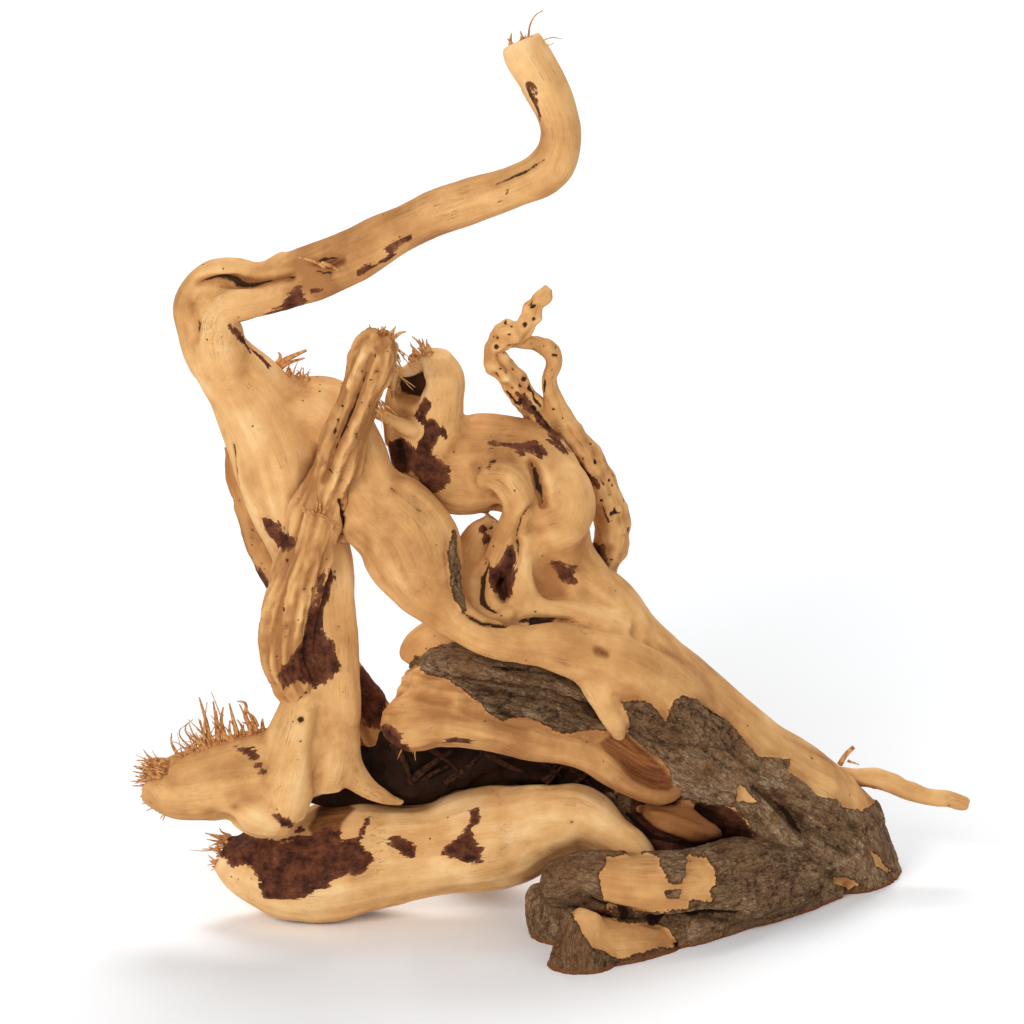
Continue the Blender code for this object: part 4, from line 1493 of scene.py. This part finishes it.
REGIONS = [
    Region(Mark.BARK, [
        (50, 119), (58, 119), (65, 120), (70, 118.5), (73, 114), (76.5, 107), (79, 112), (80, 120), (84, 122),
        (92, 120), (100, 114), (110, 108), (117, 99), (124, 91),
        (141, 90), (139, 83), (149, 77), (155, 71), (163, 68.6), (168, 64), (177, 63),
        (182, 67), (215, 62), (215, -20), (100, -20), (112, 12), (124, 30), (124, 45), (118, 60), (112, 65),
        (100, 67), (85, 69), (79, 73), (80, 82), (75, 90), (65, 97), (52, 105),
    ], STUMP_FACE),
    Region(Mark.STAIN, [
        (58, 72), (79, 73), (85, 69), (100, 67), (112, 65), (118, 60), (124, 45), (118, 36), (60, 36),
    ], ("ridge", "stump_front", "stump_right", "plate_tail", "stump_heart", "stump_sole", "rear_root")),
    Region(Mark.BARE, [
        (60, 72), (79, 73), (85, 69), (100, 67), (112, 65), (118, 60), (124, 45), (118, 38), (60, 38),
    ], ("stump_heart", "stump_front", "ridge")),
    Region(Mark.BARE, [
        (114.5, 76), (118, 74.5), (121, 71), (124, 67), (120, 66), (116.5, 68.5), (113, 68.5),
    ], STUMP_FACE),
    Region(Mark.BARK, [(0, 50), (150, 50), (150, -20), (0, -20)], ("band_root",)),
    Region(Mark.BARE, [
        (47, 14), (60, 12), (75, 13), (88, 15), (90, 20), (96, 18), (101, 18), (99, 23), (102, 28), (102, 34),
        (96, 40), (84, 40), (70, 41), (58, 42), (48, 40), (44, 30),
    ], ("band_root",)),
    Region(Mark.BARK, [(73, 42), (88, 42), (87, 33), (85, 27), (80, 27), (76, 31)], ("band_root",)),
    Region(Mark.BARK, [(75, 24.5), (84, 24.5), (83.5, 20), (78, 20.5)], ("band_root",)),
    Region(Mark.BARK, [(15, 22), (130, 22), (130, -25), (15, -25)], FOOT),
    Region(Mark.BARE, [
        (28, 16), (44, 14), (60, 8), (76, 9), (92, 11), (90, 4), (82, -4), (66, -6), (52, -9), (40, -4), (34, 6),
    ], FOOT),
    Region(Mark.BARE, [(180, 42), (183.5, 42), (187, 37), (192.5, 32), (189, 30.5), (182.5, 36.5)], STUMP_FACE, 110),
    Region(Mark.BARE, [(162, 29), (170, 29), (176, 27), (170, 24.5), (163, 26)], STUMP_FACE, 110),
    Region(Mark.BARK, [
        (-45.6, 134.8), (-36.9, 144.5), (-27.2, 147), (-13.7, 145), (11.5, 140), (30.9, 136), (44, 126),
        (54, 112), (52, 104.7), (38.7, 103.8), (25.1, 102.8), (17.4, 106.7), (7.7, 111.5), (-2, 109.6),
        (-9.8, 111.5), (-19.5, 121.2), (-31.1, 129),
    ], JAW),
    Region(Mark.RUST_AND_SHADE, [
        (42.6, 98), (54.2, 106), (66, 96), (76, 86), (82, 76), (79, 73), (69.7, 74), (60, 79), (50.3, 90.2),
    ], JAW),
    # Painted shade along the bark strip's top edge, under the plate.
    Region(Mark.SHADE, [
        (-45, 134), (-37, 144), (-27, 147), (-14, 145), (11, 140), (30, 134), (42, 122), (50, 108), (38, 104),
        (17, 107), (-10, 111), (-20, 121), (-31, 129),
    ], JAW),
    # Painted shade in the hollow of the stump's bark.
    Region(Mark.SHADE, [(134, 68), (142, 66), (150, 56), (152, 47), (144, 47), (138, 56)], STUMP_FACE),
    Region(Mark.STAIN, [(-66, 108), (-60, 106), (-52, 99), (-48, 90), (-66, 90)], JAW),
    Region(Mark.STAIN, [
        (-43.7, 271.1), (-39.2, 269.3), (-42.8, 262.1), (-36.5, 258.6), (-31.2, 255.9), (-31.2, 249.6),
        (-36.5, 251.4), (-39.2, 246.1), (-40.1, 242.5), (-33.9, 238.9), (-29.4, 233.6), (-31.2, 228.2),
        (-39.2, 222.9), (-44.6, 226.4), (-49.9, 233.6), (-60, 233.6), (-64, 238.9), (-62, 249.6), (-51.7, 251.4),
        (-48.1, 246), (-46.4, 253.2), (-49.9, 262.1), (-48.1, 267.5),
    ], ("head", "head_cheek", "throat")),
    Region(Mark.STAIN, [
        (-12.4, 249.6), (-11.5, 251.4), (-3.5, 250.5), (5.4, 249.6), (12.6, 250.5), (17.9, 246.1), (18.8, 242.5),
        (14.4, 240.7), (10.8, 243.4), (5.4, 243.4), (1.9, 245.2), (-5.3, 247), (-10.6, 246.1), (-7.1, 248.2),
    ], ("throat", "throat_outer_strand", "throat_inner_strand")),
    Region(Mark.STAIN, [
        (-2.6, 197), (1, 196), (2.8, 183.6), (0, 171), (-4.4, 169.3), (-10.6, 174.6), (-12.4, 183.6),
        (-15.1, 188.9), (-7.1, 187.1), (-4.4, 190.7),
    ]),
    Region(Mark.STAIN, [
        (1.9, 274), (7.2, 272), (14.4, 262), (23.3, 253), (30.4, 244.3), (27, 243), (18, 252), (10.8, 261), (4.5, 268),
    ]),
    Region(Mark.STAIN, [(40, 199), (46, 198), (49, 188), (42, 182), (36, 188)], ("looped_twig",)),
    Region(Mark.STAIN, [
        (-107, 327), (-103.2, 323.2), (-104.8, 318.6), (-110.9, 315), (-115.5, 316), (-112.4, 321.6),
    ]),
    Region(Mark.STAIN, [
        (-125.4, 209.9), (-117, 208.4), (-113.2, 204.5), (-107.8, 201.5), (-108.6, 196.1), (-112.4, 193.8),
        (-117, 196.1), (-121.6, 200.7), (-124.7, 205.3),
    ]),
    Region(Mark.STAIN, [
        (-93.5, 186), (-88.5, 181), (-93.5, 164.8), (-95, 155), (-88.5, 148.5), (-86.5, 135.5), (-90.2, 129),
        (-98.5, 125.7), (-106, 129), (-114.5, 125.7), (-118, 132.2), (-109.8, 143.6), (-105, 150.1),
        (-103.3, 158.3), (-98.5, 171.3),
    ]),
    Region(Mark.STAIN, [
        (-150, 55), (-135.1, 53.5), (-125.9, 50), (-116.7, 49), (-107.5, 52), (-97.6, 54.2), (-92, 56),
        (-87.3, 54.2), (-86.1, 48.8), (-76.9, 51.1), (-73.9, 59.5), (-71.2, 61.1), (-74.6, 52.6), (-75.4, 47.3),
        (-70, 40.4), (-72.3, 34.3), (-76.9, 29.7), (-81.5, 32.8), (-89.2, 29.7), (-92.2, 24.3), (-101.4, 22.8),
        (-113.7, 19), (-124.4, 19), (-127.4, 25.1), (-129.7, 32.7), (-133.5, 36.6), (-140.4, 35),
        (-143.5, 38.9), (-152, 42),
    ], ("long_root",)),
    # Warm painted shade on the long root under the leg, in rust colours.
    Region(Mark.RUST_AND_SHADE, [(-104, 56), (-98, 68), (-84, 70), (-78, 66), (-85, 58), (-88, 50), (-100, 50)], ("long_root",)),
    Region(Mark.STAIN, [
        (-17.5, 65), (-16, 59.2), (-20.4, 54.3), (-19.5, 49.5), (-14, 44.6), (-15.6, 38.8), (-24.3, 36.9),
        (-34, 41.7), (-34, 45.6), (-26.3, 51.4), (-21.4, 58.2), (-21, 63),
    ], ("long_root",)),
]


def stroke(mark: Mark, *spots: Spot, depth: float = 0.0) -> Stroke:
    """A stroke through the spots."""
    return Stroke(mark, list(spots), depth)


STAINS = [
    ((-138, 308.5, 0.8), (-126, 312, 1.0), (-115, 316, 1.2)),
    ((-142, 307, 1.2), (-135, 300, 1.8), (-128, 293, 1.7), (-122, 287, 1.1)),
    ((-100, 324, 1.6), (-95, 325, 1.2)), ((-77, 334, 1.4), (-72, 337, 1.8), (-68, 338, 1.4)),
    ((-67, 339, 1.2), (-60, 342, 1.2)), ((-62, 345, 1.6), (-57, 348, 2.0), (-52, 350, 1.4)),
    ((8, 427, 1.6), (11, 420, 2.6), (13.5, 414, 2.6), (14, 410, 1.6)), ((-7, 370, 1.0), (-2, 373, 1.1)),
    ((-90, 185, 1.2), (-92, 178, 1.8)), ((-127, 87, 1.8), (-125, 84, 1.4)), ((-138, 80, 0.8),),
    ((-118, 62, 2.2), (-113, 58.5, 3.2), (-107.5, 56, 2.2)),
    ((-77, 143, 6), (-72, 130, 8), (-69, 115, 10)), ((-131, 205, 1.4),), ((-131, 190, 2.6), (-126, 183, 4),
                                                                        (-122, 178, 3)),
    ((23, 188, 2.2), (28, 184, 4.4), (31, 179, 2.4)), ((32, 187, 1.4), (29, 184, 2)),
    ((-15, 206, 2.0), (-12, 200, 2.6)),
    ((38, 232, 2), (44, 227, 2.2)), ((46, 216, 1.4), (49, 210, 1.0)), ((-12, 237, 0.7), (-9, 239.5, 0.8)),
    ((-138, 95, 1.8), (-133, 94, 3.0), (-128.5, 91, 1.8)), ((-58, 47.5, 3.4), (-53, 44, 4.4), (-50, 41, 2.0)),
    ((-114.6, 165, 1.4),),
    ((-85, 217, 1.0), (-85, 208, 1.6), (-87, 200, 1.0)), ((-48, 140, 2.0),),
    ((-36, 99, 1.2), (-28, 101, 1.6), (-18, 99, 1.0)), ((88, 71, 1.2),),
]

CRACKS = [
    (1.4, ((-8, 377, 0.5), (4, 382, 0.8), (16, 389, 0.5))), (1.4, ((-120, 330.8, 0.5), (-109, 330.8, 0.4))),
    (2.4, ((-25, 164, 0.7), (-15, 158, 1.0), (-4, 157.5, 1.3), (5, 159, 1.2), (12, 160.5, 0.8), (24, 160, 0.3),
           (40, 158, 0.2))),
    (1.6, ((-86, 220, 0.8), (-85, 210, 1.2), (-85, 202, 0.8))),
    (1.6, ((-98, 334, 0.6), (-93, 332.5, 0.8), (-88, 333, 0.4))), (1.2, ((-60, 226, 0.4), (-46, 214, 0.4))),
    (1.6, ((-141, 247, 0.5), (-138, 228, 0.7))), (1.6, ((10, 267, 0.5), (24, 252, 0.9), (38, 232, 0.7))),
    (1.2, ((-10, 135.5, 0.5), (-2, 134.5, 0.8), (10, 134, 0.4))),
    (1.2, ((92, 120, 0.5), (110, 108, 0.8), (122, 94, 0.4))),
]

GROOVES = [
    (5.0, ((-156, 329.2, 0.4), (-151, 329.8, 1.0), (-145, 329.8, 1.5), (-139, 329.2, 1.4), (-134, 328.8, 1.1),
           (-129, 328.9, 1.0), (-124, 329.6, 1.0), (-118, 330.6, 0.8), (-111, 331.4, 0.4))),
    (2.6, ((-100, 339, 0.2), (-95, 340.5, 1.0), (-90, 341, 1.2), (-86, 340, 0.4))),
    (2.2, ((-160, 318, 0.2), (-157, 308, 0.7), (-158, 300, 0.2))),
    (4.6, ((-70, 292, 0.2), (-74, 280, 0.6), (-79, 266, 1.2), (-84, 255, 1.1), (-90, 242, 0.5), (-94, 230, 0.1))),
    (2.2, ((-67, 296, 0.1), (-72, 284, 0.4), (-76, 274, 0.3))),
    (2.4, ((-82, 274, 0.1), (-88, 256, 0.5), (-94, 238, 0.2))),
    (2.6, ((14, 220, 0.4), (9, 215, 0.7), (5, 211, 0.8), (3, 203, 0.8), (2.7, 196, 0.7), (2.5, 189, 0.3))),
    (2.2, ((-18, 238, 0.2), (-13, 231, 0.6), (-8, 222, 0.7), (-5, 214, 0.5))),
    (3.0, ((-99, 160, 0.3), (-102, 150, 0.8), (-102, 140, 1.0), (-97, 131, 0.4))),
    (5.0, ((10.5, 239, 0.5), (13, 232, 1.4), (14.8, 224, 1.3), (15.5, 218, 0.4))),
    (3.4, ((-7, 216, 1.0), (-10, 207, 1.3))),
    (4.0, ((-14, 188, 1.0), (-16, 180, 2.2), (-14.5, 170, 2.2), (-9, 165, 1.2))),
    (3.4, ((40, 20, 1.2), (55, 12.5, 1.8), (72, 9.5, 2.0), (95, 12, 2.0), (112, 13, 1.4))),
    (3.0, ((58, 62, 1.4), (70, 50, 1.8), (90, 46, 1.8), (112, 47, 1.2))),
    (8.0, ((-50.5, 284.5, 4.4), (-50.5, 279, 6.0), (-52, 273.5, 4.2))), (2.4, ((-57, 248, 2.2), (-56, 240, 3.0))),
    (4.0, ((132, 70, 0.2), (140, 63, 1.3), (144, 56, 1.6), (147, 51, 0.3))),
]

HOLLOWS = [
    (4.6, ((12, 205, 1.5), (14, 192, 4.5), (21, 178, 5.5))), (1.6, ((43, 146.5, 1.4), (48, 145.5, 1.0))),
    (7.0, ((124, 75, 1.0), (134, 68, 2.4), (144, 57, 4.6))), (2.4, ((-93, 338, 2.4),)),
    (2.6, ((-10, 232, 3), (-2, 220, 4))), (1.8, ((-78, 200, 6), (-72, 180, 5))),
    (1.6, ((-63, 117, 0.3), (-46, 121, 0.5), (-31, 119, 0.2))),
    (1.6, ((-61, 112, 0.3), (-42, 113, 0.5), (-22, 111, 0.2))), (1.2, ((-54, 127, 0.2), (-42, 131, 0.4))),
    (2.0, ((-20, 118, 5), (4, 108, 3))),
    (2.4, ((-150, 62, 3), (-141, 58, 3))), (2.2, ((-96, 112, 2), (-99, 96, 3), (-98, 80, 3))),
]

PITS = [
    (1.6, (-106, 110, 1.9)), (0.9, (-106, 99, 0.9)), (0.9, (-108, 90, 0.8)), (0.9, (-109, 84, 0.8)),
    (1.2, (45.5, 143.5, 1.1)), (0.9, (-12, 236, 0.8)), (0.9, (-8, 239, 0.7)), (1.6, (82, -3, 1.8)),
    (1.0, (153, 91, 1.4)),
    (1.0, (-8, 301, 1.1)), (1.0, (0, 307, 1.0)), (1.0, (-6, 292, 0.9)), (1.0, (-3, 284, 1.0)), (0.9, (5, 277, 0.8)),
    (0.9, (2, 271, 0.7)), (0.9, (12, 262, 0.8)), (0.9, (8, 318, 0.7)), (0.9, (-9, 305, 0.7)), (0.9, (10, 298, 0.7)),
    (1.0, (-2, 297, 0.9)), (0.9, (16, 297, 0.8)), (0.9, (20, 285, 0.7)), (0.9, (-5, 288, 0.8)), (0.9, (0, 276, 0.9)),
    (1.2, (-139, 66, 1.0)), (1.0, (-86, 156, 0.7)), (0.8, (-60, 226, 0.7)), (0.8, (-49, 222, 0.8)),
    (0.8, (-48, 219, 0.7)),
    (0.8, (-44, 213, 0.6)), (0.8, (-150, 301, 0.6)), (0.8, (-36, 141, 0.9)), (0.8, (-50, 143, 0.8)),
    (0.9, (30, 58, 0.8)),
]

KNOTS = [
    (2.4, (-97, 215, 5)), (1.6, (-93, 341, 5)), (1.4, (-2, 304, 3)), (1.2, (153, 91, 4)), (1.4, (20, 296, 2)),
    (1.2, (-7, 298, 2)), (1.0, (14, 322, 1.5)), (1.6, (-66, 300, 4)), (1.2, (72, 120, 2)), (1.6, (-111, 110, 5)),
]

# Thin roots and lips of bark that stand up sharply.
VINES = [
    (1.8, ((121, 68, 0.2), (127, 60, 0.8), (133, 52, 0.9), (141, 43, 1.0), (150, 33, 0.9), (156, 27, 0.5))),
    (1.4, ((126, 72, 0.1), (130, 62, 0.4), (134, 53, 0.6))),
    (1.4, ((146, 36, 0.2), (156, 34, 0.6), (168, 38, 0.7), (178, 44, 0.2))),
    (1.2, ((118, 92, 0.1), (126, 80, 0.5), (132, 72, 0.4))), (1.2, ((96, 36, 0.1), (110, 38, 0.5), (122, 46, 0.3))),
    (1.0, ((150, 60, 0.1), (160, 52, 0.4), (172, 50, 0.3))), (1.0, ((64, 16, 0.1), (84, 13, 0.5), (106, 17, 0.3))),
]

RIDGES = [
    (2.8, ((121, 67, 0.1), (127, 60, 0.4), (133, 52, 0.3), (141, 43, 0.6), (150, 33, 0.6), (157, 27, 0.2))),
    (1.8, ((127, 68, 0.1), (136, 58, 0.4), (147, 45, 0.2))), (1.0, ((104, 62, 0.3), (114, 52, 0.5), (128, 46, 0.3))),
    (1.6, ((-111, 96, 1), (-108, 80, 1.6), (-110, 66, 1.4))),
    (1.4, ((-146, 296, 1), (-138, 276, 1.4), (-126, 248, 1))),
    (1.6, ((-68, 206, 1), (-50, 196, 1.4), (-40, 176, 1.2), (-22, 156, 1), (4, 148, 0.6))),
    (1.4, ((30, 166, 1), (60, 146, 1.4), (92, 118, 1))),
    (1.6, ((-60, 66, 2), (-30, 70, 2.4), (4, 76, 2), (40, 74, 2))),
]


def strokes() -> list[Stroke]:
    """Every mark of the visible side."""
    marks = [Stroke(Mark.STAIN, list(spots)) for spots in STAINS]
    marks.append(stroke(Mark.BARK, (-30, 204, 2.0), (-30.5, 193, 3.4), (-29.5, 180, 3.8), (-27, 171, 2.8),
                        (-24.5, 165, 1.4)))
    marks.append(stroke(Mark.RUST_AND_SHADE, (43, 144.5, 1.6), (47, 143, 1.2)))
    marks.append(stroke(Mark.RUST_AND_SHADE, (-98, 338, 1.0), (-90, 337.5, 2.6), (-85, 338, 1.0)))
    marks += [Stroke(Mark.KNOT, [spot], depth) for depth, spot in KNOTS]
    marks += [Stroke(Mark.PIT, [spot], depth) for depth, spot in PITS]
    lines = ((Mark.CRACK, CRACKS), (Mark.GROOVE, GROOVES), (Mark.HOLLOW, HOLLOWS), (Mark.KNOT, RIDGES),
             (Mark.RIDGE, VINES))
    marks += [Stroke(mark, list(spots), depth) for mark, table in lines for depth, spots in table]
    return marks


def tufts() -> list[Tuft]:
    """Every bunch of torn fibres."""
    top = Tuft("top_fibres", [
        Fibre([(6, 446, 13), (8, 450, 13), (9, 456, 12), (12, 461, 11), (15.5, 463, 11)], 0.8),
        Fibre([(11, 443, 12), (14, 447, 11), (19, 449.5, 10), (25, 449, 9)], 0.65),
        Fibre([(3, 446, 13), (5, 450, 12), (4, 453, 12)], 1.0),
        Fibre([(9, 445, 12), (13, 449, 12), (18, 446, 12), (21, 447, 12)], 0.6),
    ], seed=3)
    top.scatter(14, ((-2, 447, 14), (11, 446, 14)), (0.1, 1, -0.1), (2, 4.5), 0.9, 0.15)
    stub = Tuft("stub_fibres", [
        Fibre([(-152, 96, 8), (-153, 106, 8), (-155, 114, 7), (-157, 121, 6)], 1.7),
        Fibre([(-148, 98, 8), (-148.5, 108, 8), (-150, 119, 8)], 1.6),
        Fibre([(-144, 100, 8), (-146, 109, 9), (-145, 116, 9)], 1.4),
        Fibre([(-138, 102, 8), (-140, 110, 9), (-142, 118, 9)], 1.5),
        Fibre([(-131, 105, 9), (-134, 112, 10), (-134, 118, 10), (-138, 119, 10)], 1.5),
        Fibre([(-128, 106, 9), (-130, 111, 10), (-134, 114, 10)], 1.3),
        Fibre([(-155, 96, 9), (-161, 100, 8), (-164, 106, 6), (-160, 110, 5)], 0.8),
        Fibre([(-158, 95, 9), (-164, 98, 8), (-167, 104, 6), (-164, 107, 5)], 0.7),
        Fibre([(-168, 92, 9), (-171, 98, 9), (-171, 103, 9)], 1.1),
        Fibre([(-160, 95, 9), (-157, 99, 9), (-152, 102, 7), (-149, 107, 7)], 0.8),
    ], seed=5)
    stub.scatter(26, ((-156, 96, 8), (-144, 100, 8)), (-0.25, 1, 0.0), (6, 15), 1.0, 0.3)
    stub.scatter(14, ((-142, 101, 8), (-125, 107, 8)), (-0.35, 1, 0.0), (4, 10), 1.1, 0.3)
    stub.scatter(16, ((-168, 92, 8), (-152, 98, 8)), (-0.6, 0.9, 0.0), (4, 9), 0.6, 0.6)
    end = Tuft("stub_end_fibres", seed=7)
    for back in (2, 8, 15):
        end.scatter(34, ((-177, 89, back), (-180, 77, back)), (-1, 0.2, 0.0), (4, 9), 0.8, 0.22)
        end.scatter(24, ((-180, 78, back), (-172, 64, back)), (-1, -0.35, 0.1), (3, 7), 0.8, 0.25)
    crest = Tuft("front_root_fibres", [Fibre([(-60, 300, 0), (-56, 303, 0), (-53, 304, 1)], 1.4)], seed=11)
    crest.scatter(22, ((-74, 300, 0), (-58, 302, 0)), (0.2, 0.7, -0.4), (2, 4), 1.2, 0.2)
    crest.scatter(9, ((-60, 284, 6), (-54, 294, 8)), (0.5, -0.8, 0.2), (4, 9), 0.5, 0.5)
    crest.scatter(7, ((-66, 262, 4), (-64, 268, 6)), (0.6, -1, 0.0), (3, 7), 0.45, 0.4)
    splinter = Tuft("elbow_splinters", [
        Fibre([(-93, 336, 12), (-99, 339, 11), (-107, 341, 12)], 1.0),
        Fibre([(-95, 338, 12), (-90, 336.5, 10), (-86, 334, 10)], 1.2),
        Fibre([(-120, 286, 44), (-112, 291, 42), (-103, 295, 40)], 2.2, 0.35),
        Fibre([(-118, 285, 44), (-111, 289, 40), (-104, 291, 38)], 1.6, 0.3),
        Fibre([(-119, 287, 42), (-116, 292, 42), (-117, 294, 42)], 1.4, 0.3),
    ], seed=13)
    splinter.scatter(16, ((-116, 283, 38), (-102, 283, 36)), (0.2, 1, -0.3), (2, 5), 0.7, 0.6)
    head = Tuft("head_splinters", seed=15)
    head.scatter(16, ((-51, 291, 42), (-43, 298, 42)), (-0.5, 1, -0.2), (2, 5), 1.0, 0.3)
    head.scatter(8, ((-61, 288, 38), (-60, 262, 38)), (-0.2, 1, -0.6), (4, 10), 0.7, 0.2)
    long_end = Tuft("long_root_fibres", [Fibre([(-148, 44, 34), (-156, 43, 34), (-163, 43.5, 34)], 0.4)], seed=17)
    long_end.scatter(30, ((-146, 52, 32), (-149, 34, 32)), (-1, 0.1, -0.3), (2, 5), 0.8, 0.5)
    knot = Tuft("knot_fibres", seed=19)
    knot.scatter(8, ((-103, 214, -5), (-90, 210, -5)), (0.6, -0.3, -0.3), (3, 7), 0.5, 0.6)
    knot.scatter(5, ((-98, 218, -5), (-92, 214, -5)), (0.3, 0.9, -0.3), (3, 5), 0.45, 0.6)
    rim = Tuft("side_splinters", [Fibre([(166, 86, 84), (169, 91, 84), (173, 95, 84)], 1.6, 0.7),
                                  Fibre([(170, 88, 86), (176, 86, 86)], 0.8)], seed=23)
    shards = Tuft("crotch_shards", [
        Fibre([(-52, 78, 22), (-42, 86, 20), (-30, 94, 22)], 2.6, 0.3),
        Fibre([(-34, 78, 24), (-22, 86, 24), (-12, 96, 26)], 2.0, 0.3),
        Fibre([(-44, 96, 20), (-34, 90, 20), (-26, 82, 24)], 1.6, 0.3),
        Fibre([(-20, 98, 26), (-6, 88, 28), (8, 82, 32)], 2.2, 0.3),
        Fibre([(0, 96, 30), (12, 90, 30), (26, 80, 34)], 1.8, 0.3),
        Fibre([(22, 90, 32), (34, 82, 32), (44, 72, 34)], 2.4, 0.3),
        Fibre([(40, 84, 34), (50, 74, 32), (58, 62, 34)], 2.0, 0.4),
        Fibre([(-60, 98, 20), (-54, 88, 18), (-50, 76, 20)], 2.2, 0.3),
    ], seed=31)
    shards.scatter(5, ((-56, 82, 20), (40, 80, 32)), (0.6, 0.7, 0.0), (6, 14), 1.6, 0.5)
    jaw = Tuft("jaw_fibres", seed=29)
    jaw.scatter(26, ((-61, 106, 8), (-48, 95, 4)), (-0.4, -0.8, -0.2), (2, 5), 0.7, 0.5)
    return [top, stub, end, crest, splinter, head, long_end, knot, rim, jaw, shards]


class Studio:
    """The floor, the lights and the camera.

    Attributes:
        camera_lens: The lens, in millimetres, which is long so that the view is nearly without perspective.
        sensor: How wide the camera's sensor is, in millimetres.
        view_width: How much it sees at the wood, in metres.
        view_middle: What it looks at, as across, up and back.
    """

    camera_lens: float = 700.0
    sensor: float = 36.0
    view_width: float = 0.512
    view_middle: tuple[float, float, float] = (0.0, 214.0, 0.0)

    def build(self) -> None:
        """Sets up everything round the wood."""
        self.add_floor()
        self.add_world()
        self.add_lamp("key", (-1.2, -2.7, 1.7), 1.2, 54.0)
        self.add_lamp("fill", (2.2, -1.6, 1.4), 2.0, 5.0)
        self.add_lamp("floor_light", (0.3, 2.1, 3.3), 1.9, 78.0)
        self.add_camera()

    def add_floor(self) -> None:
        """Adds a wide plain floor."""
        bpy.ops.mesh.primitive_plane_add(size=40)
        floor = bpy.context.object
        floor.name = "floor"
        floor.data.materials.append(FloorFinish().material())

    def add_world(self) -> None:
        """Adds even white light from all round."""
        world = bpy.data.worlds.new("studio")
        world.use_nodes = True
        background = world.node_tree.nodes["Background"]
        background.inputs["Color"].default_value = (0.985, 0.992, 1.0, 1)
        background.inputs["Strength"].default_value = 0.42
        bpy.context.scene.world = world
        bpy.context.scene.view_settings.view_transform = "Standard"

    def add_lamp(self, name: str, place: tuple[float, float, float], size: float, power: float) -> None:
        """Adds a soft square light that looks at the wood.

        Args:
            name: Its name.
            place: Where it is, in metres.
            size: How wide it is, in metres.
            power: How strong it is, in watts.
        """
        lamp = bpy.data.lights.new(name, "AREA")
        lamp.energy = power
        lamp.size = size
        thing = add_object(name, lamp)
        thing.location = place
        aim = Vector((0, 0, 0.2)) - Vector(place)
        thing.rotation_euler = aim.to_track_quat("-Z", "Y").to_euler()

    def add_camera(self) -> None:
        """Looks down on the wood by the drawing's own angle, from far off."""
        camera = bpy.data.cameras.new("camera")
        camera.lens = self.camera_lens
        camera.sensor_width = self.sensor
        camera.clip_end = 100
        across, up, back = self.view_middle
        middle = from_drawing(np.array([[across, up, out_of_page(up, back)]]))[0] * MM
        distance = self.view_width * self.camera_lens / self.sensor
        thing = add_object("camera", camera)
        thing.location = Vector(middle) + Vector(OUTWARD) * distance
        thing.rotation_euler = (math.pi / 2 - SIGHT, 0, 0)
        bpy.context.scene.camera = thing


def main() -> None:
    """Builds the wood, its fibres and the studio."""
    logging.basicConfig(level=logging.INFO, format="%(message)s")
    # Each mass has its grain size in millimetres, its rounds of smoothing and its seed.
    masses = [
        RootMass("trunk_roots", TRUNK_LIMBS, 1.25, 8, 4),
        RootMass("stump_roots", STUMP_LIMBS, 1.47, 8, 4),
        RootMass("front_root", FRONT_LIMBS, 0.9, 8, 21),
        RootMass("jaw_root", JAW_LIMBS, 1.1, 4, 31),
        RootMass("long_root", LONG_LIMBS, 1.15, 4, 41),
        RootMass("rear_root", REAR_LIMBS, 1.0, 4, 61),
        RootMass("side_twig", SIDE_LIMBS, 0.6, 4, 71),
        RootMass("twigs", TWIGS_LIMBS, 0.7, 4, 51),
    ]
    for mass in masses:
        mass.fuse()
    trees = [mass.tree() for mass in masses]
    placed = [PlacedStroke(mark, trees) for mark in strokes()]
    for mass in masses:
        mass.mark(placed, REGIONS, BARKED_LIMBS)
        mass.carve()
        mass.trim()
    trees = [mass.tree() for mass in masses]
    wood = DriftwoodFinish().material()
    for mass in masses:
        mass.shade_hollows(trees, 6)
        mass.finish(wood)
    fibre = FibreFinish().material()
    shade = FibreFinish("shaded_shards", srgb(24, 12, 7), srgb(74, 42, 24)).material()
    for tuft in tufts():
        tuft.build(shade if tuft.name == "crotch_shards" else fibre)
    Studio().build()


if __name__ == "__main__":
    main()
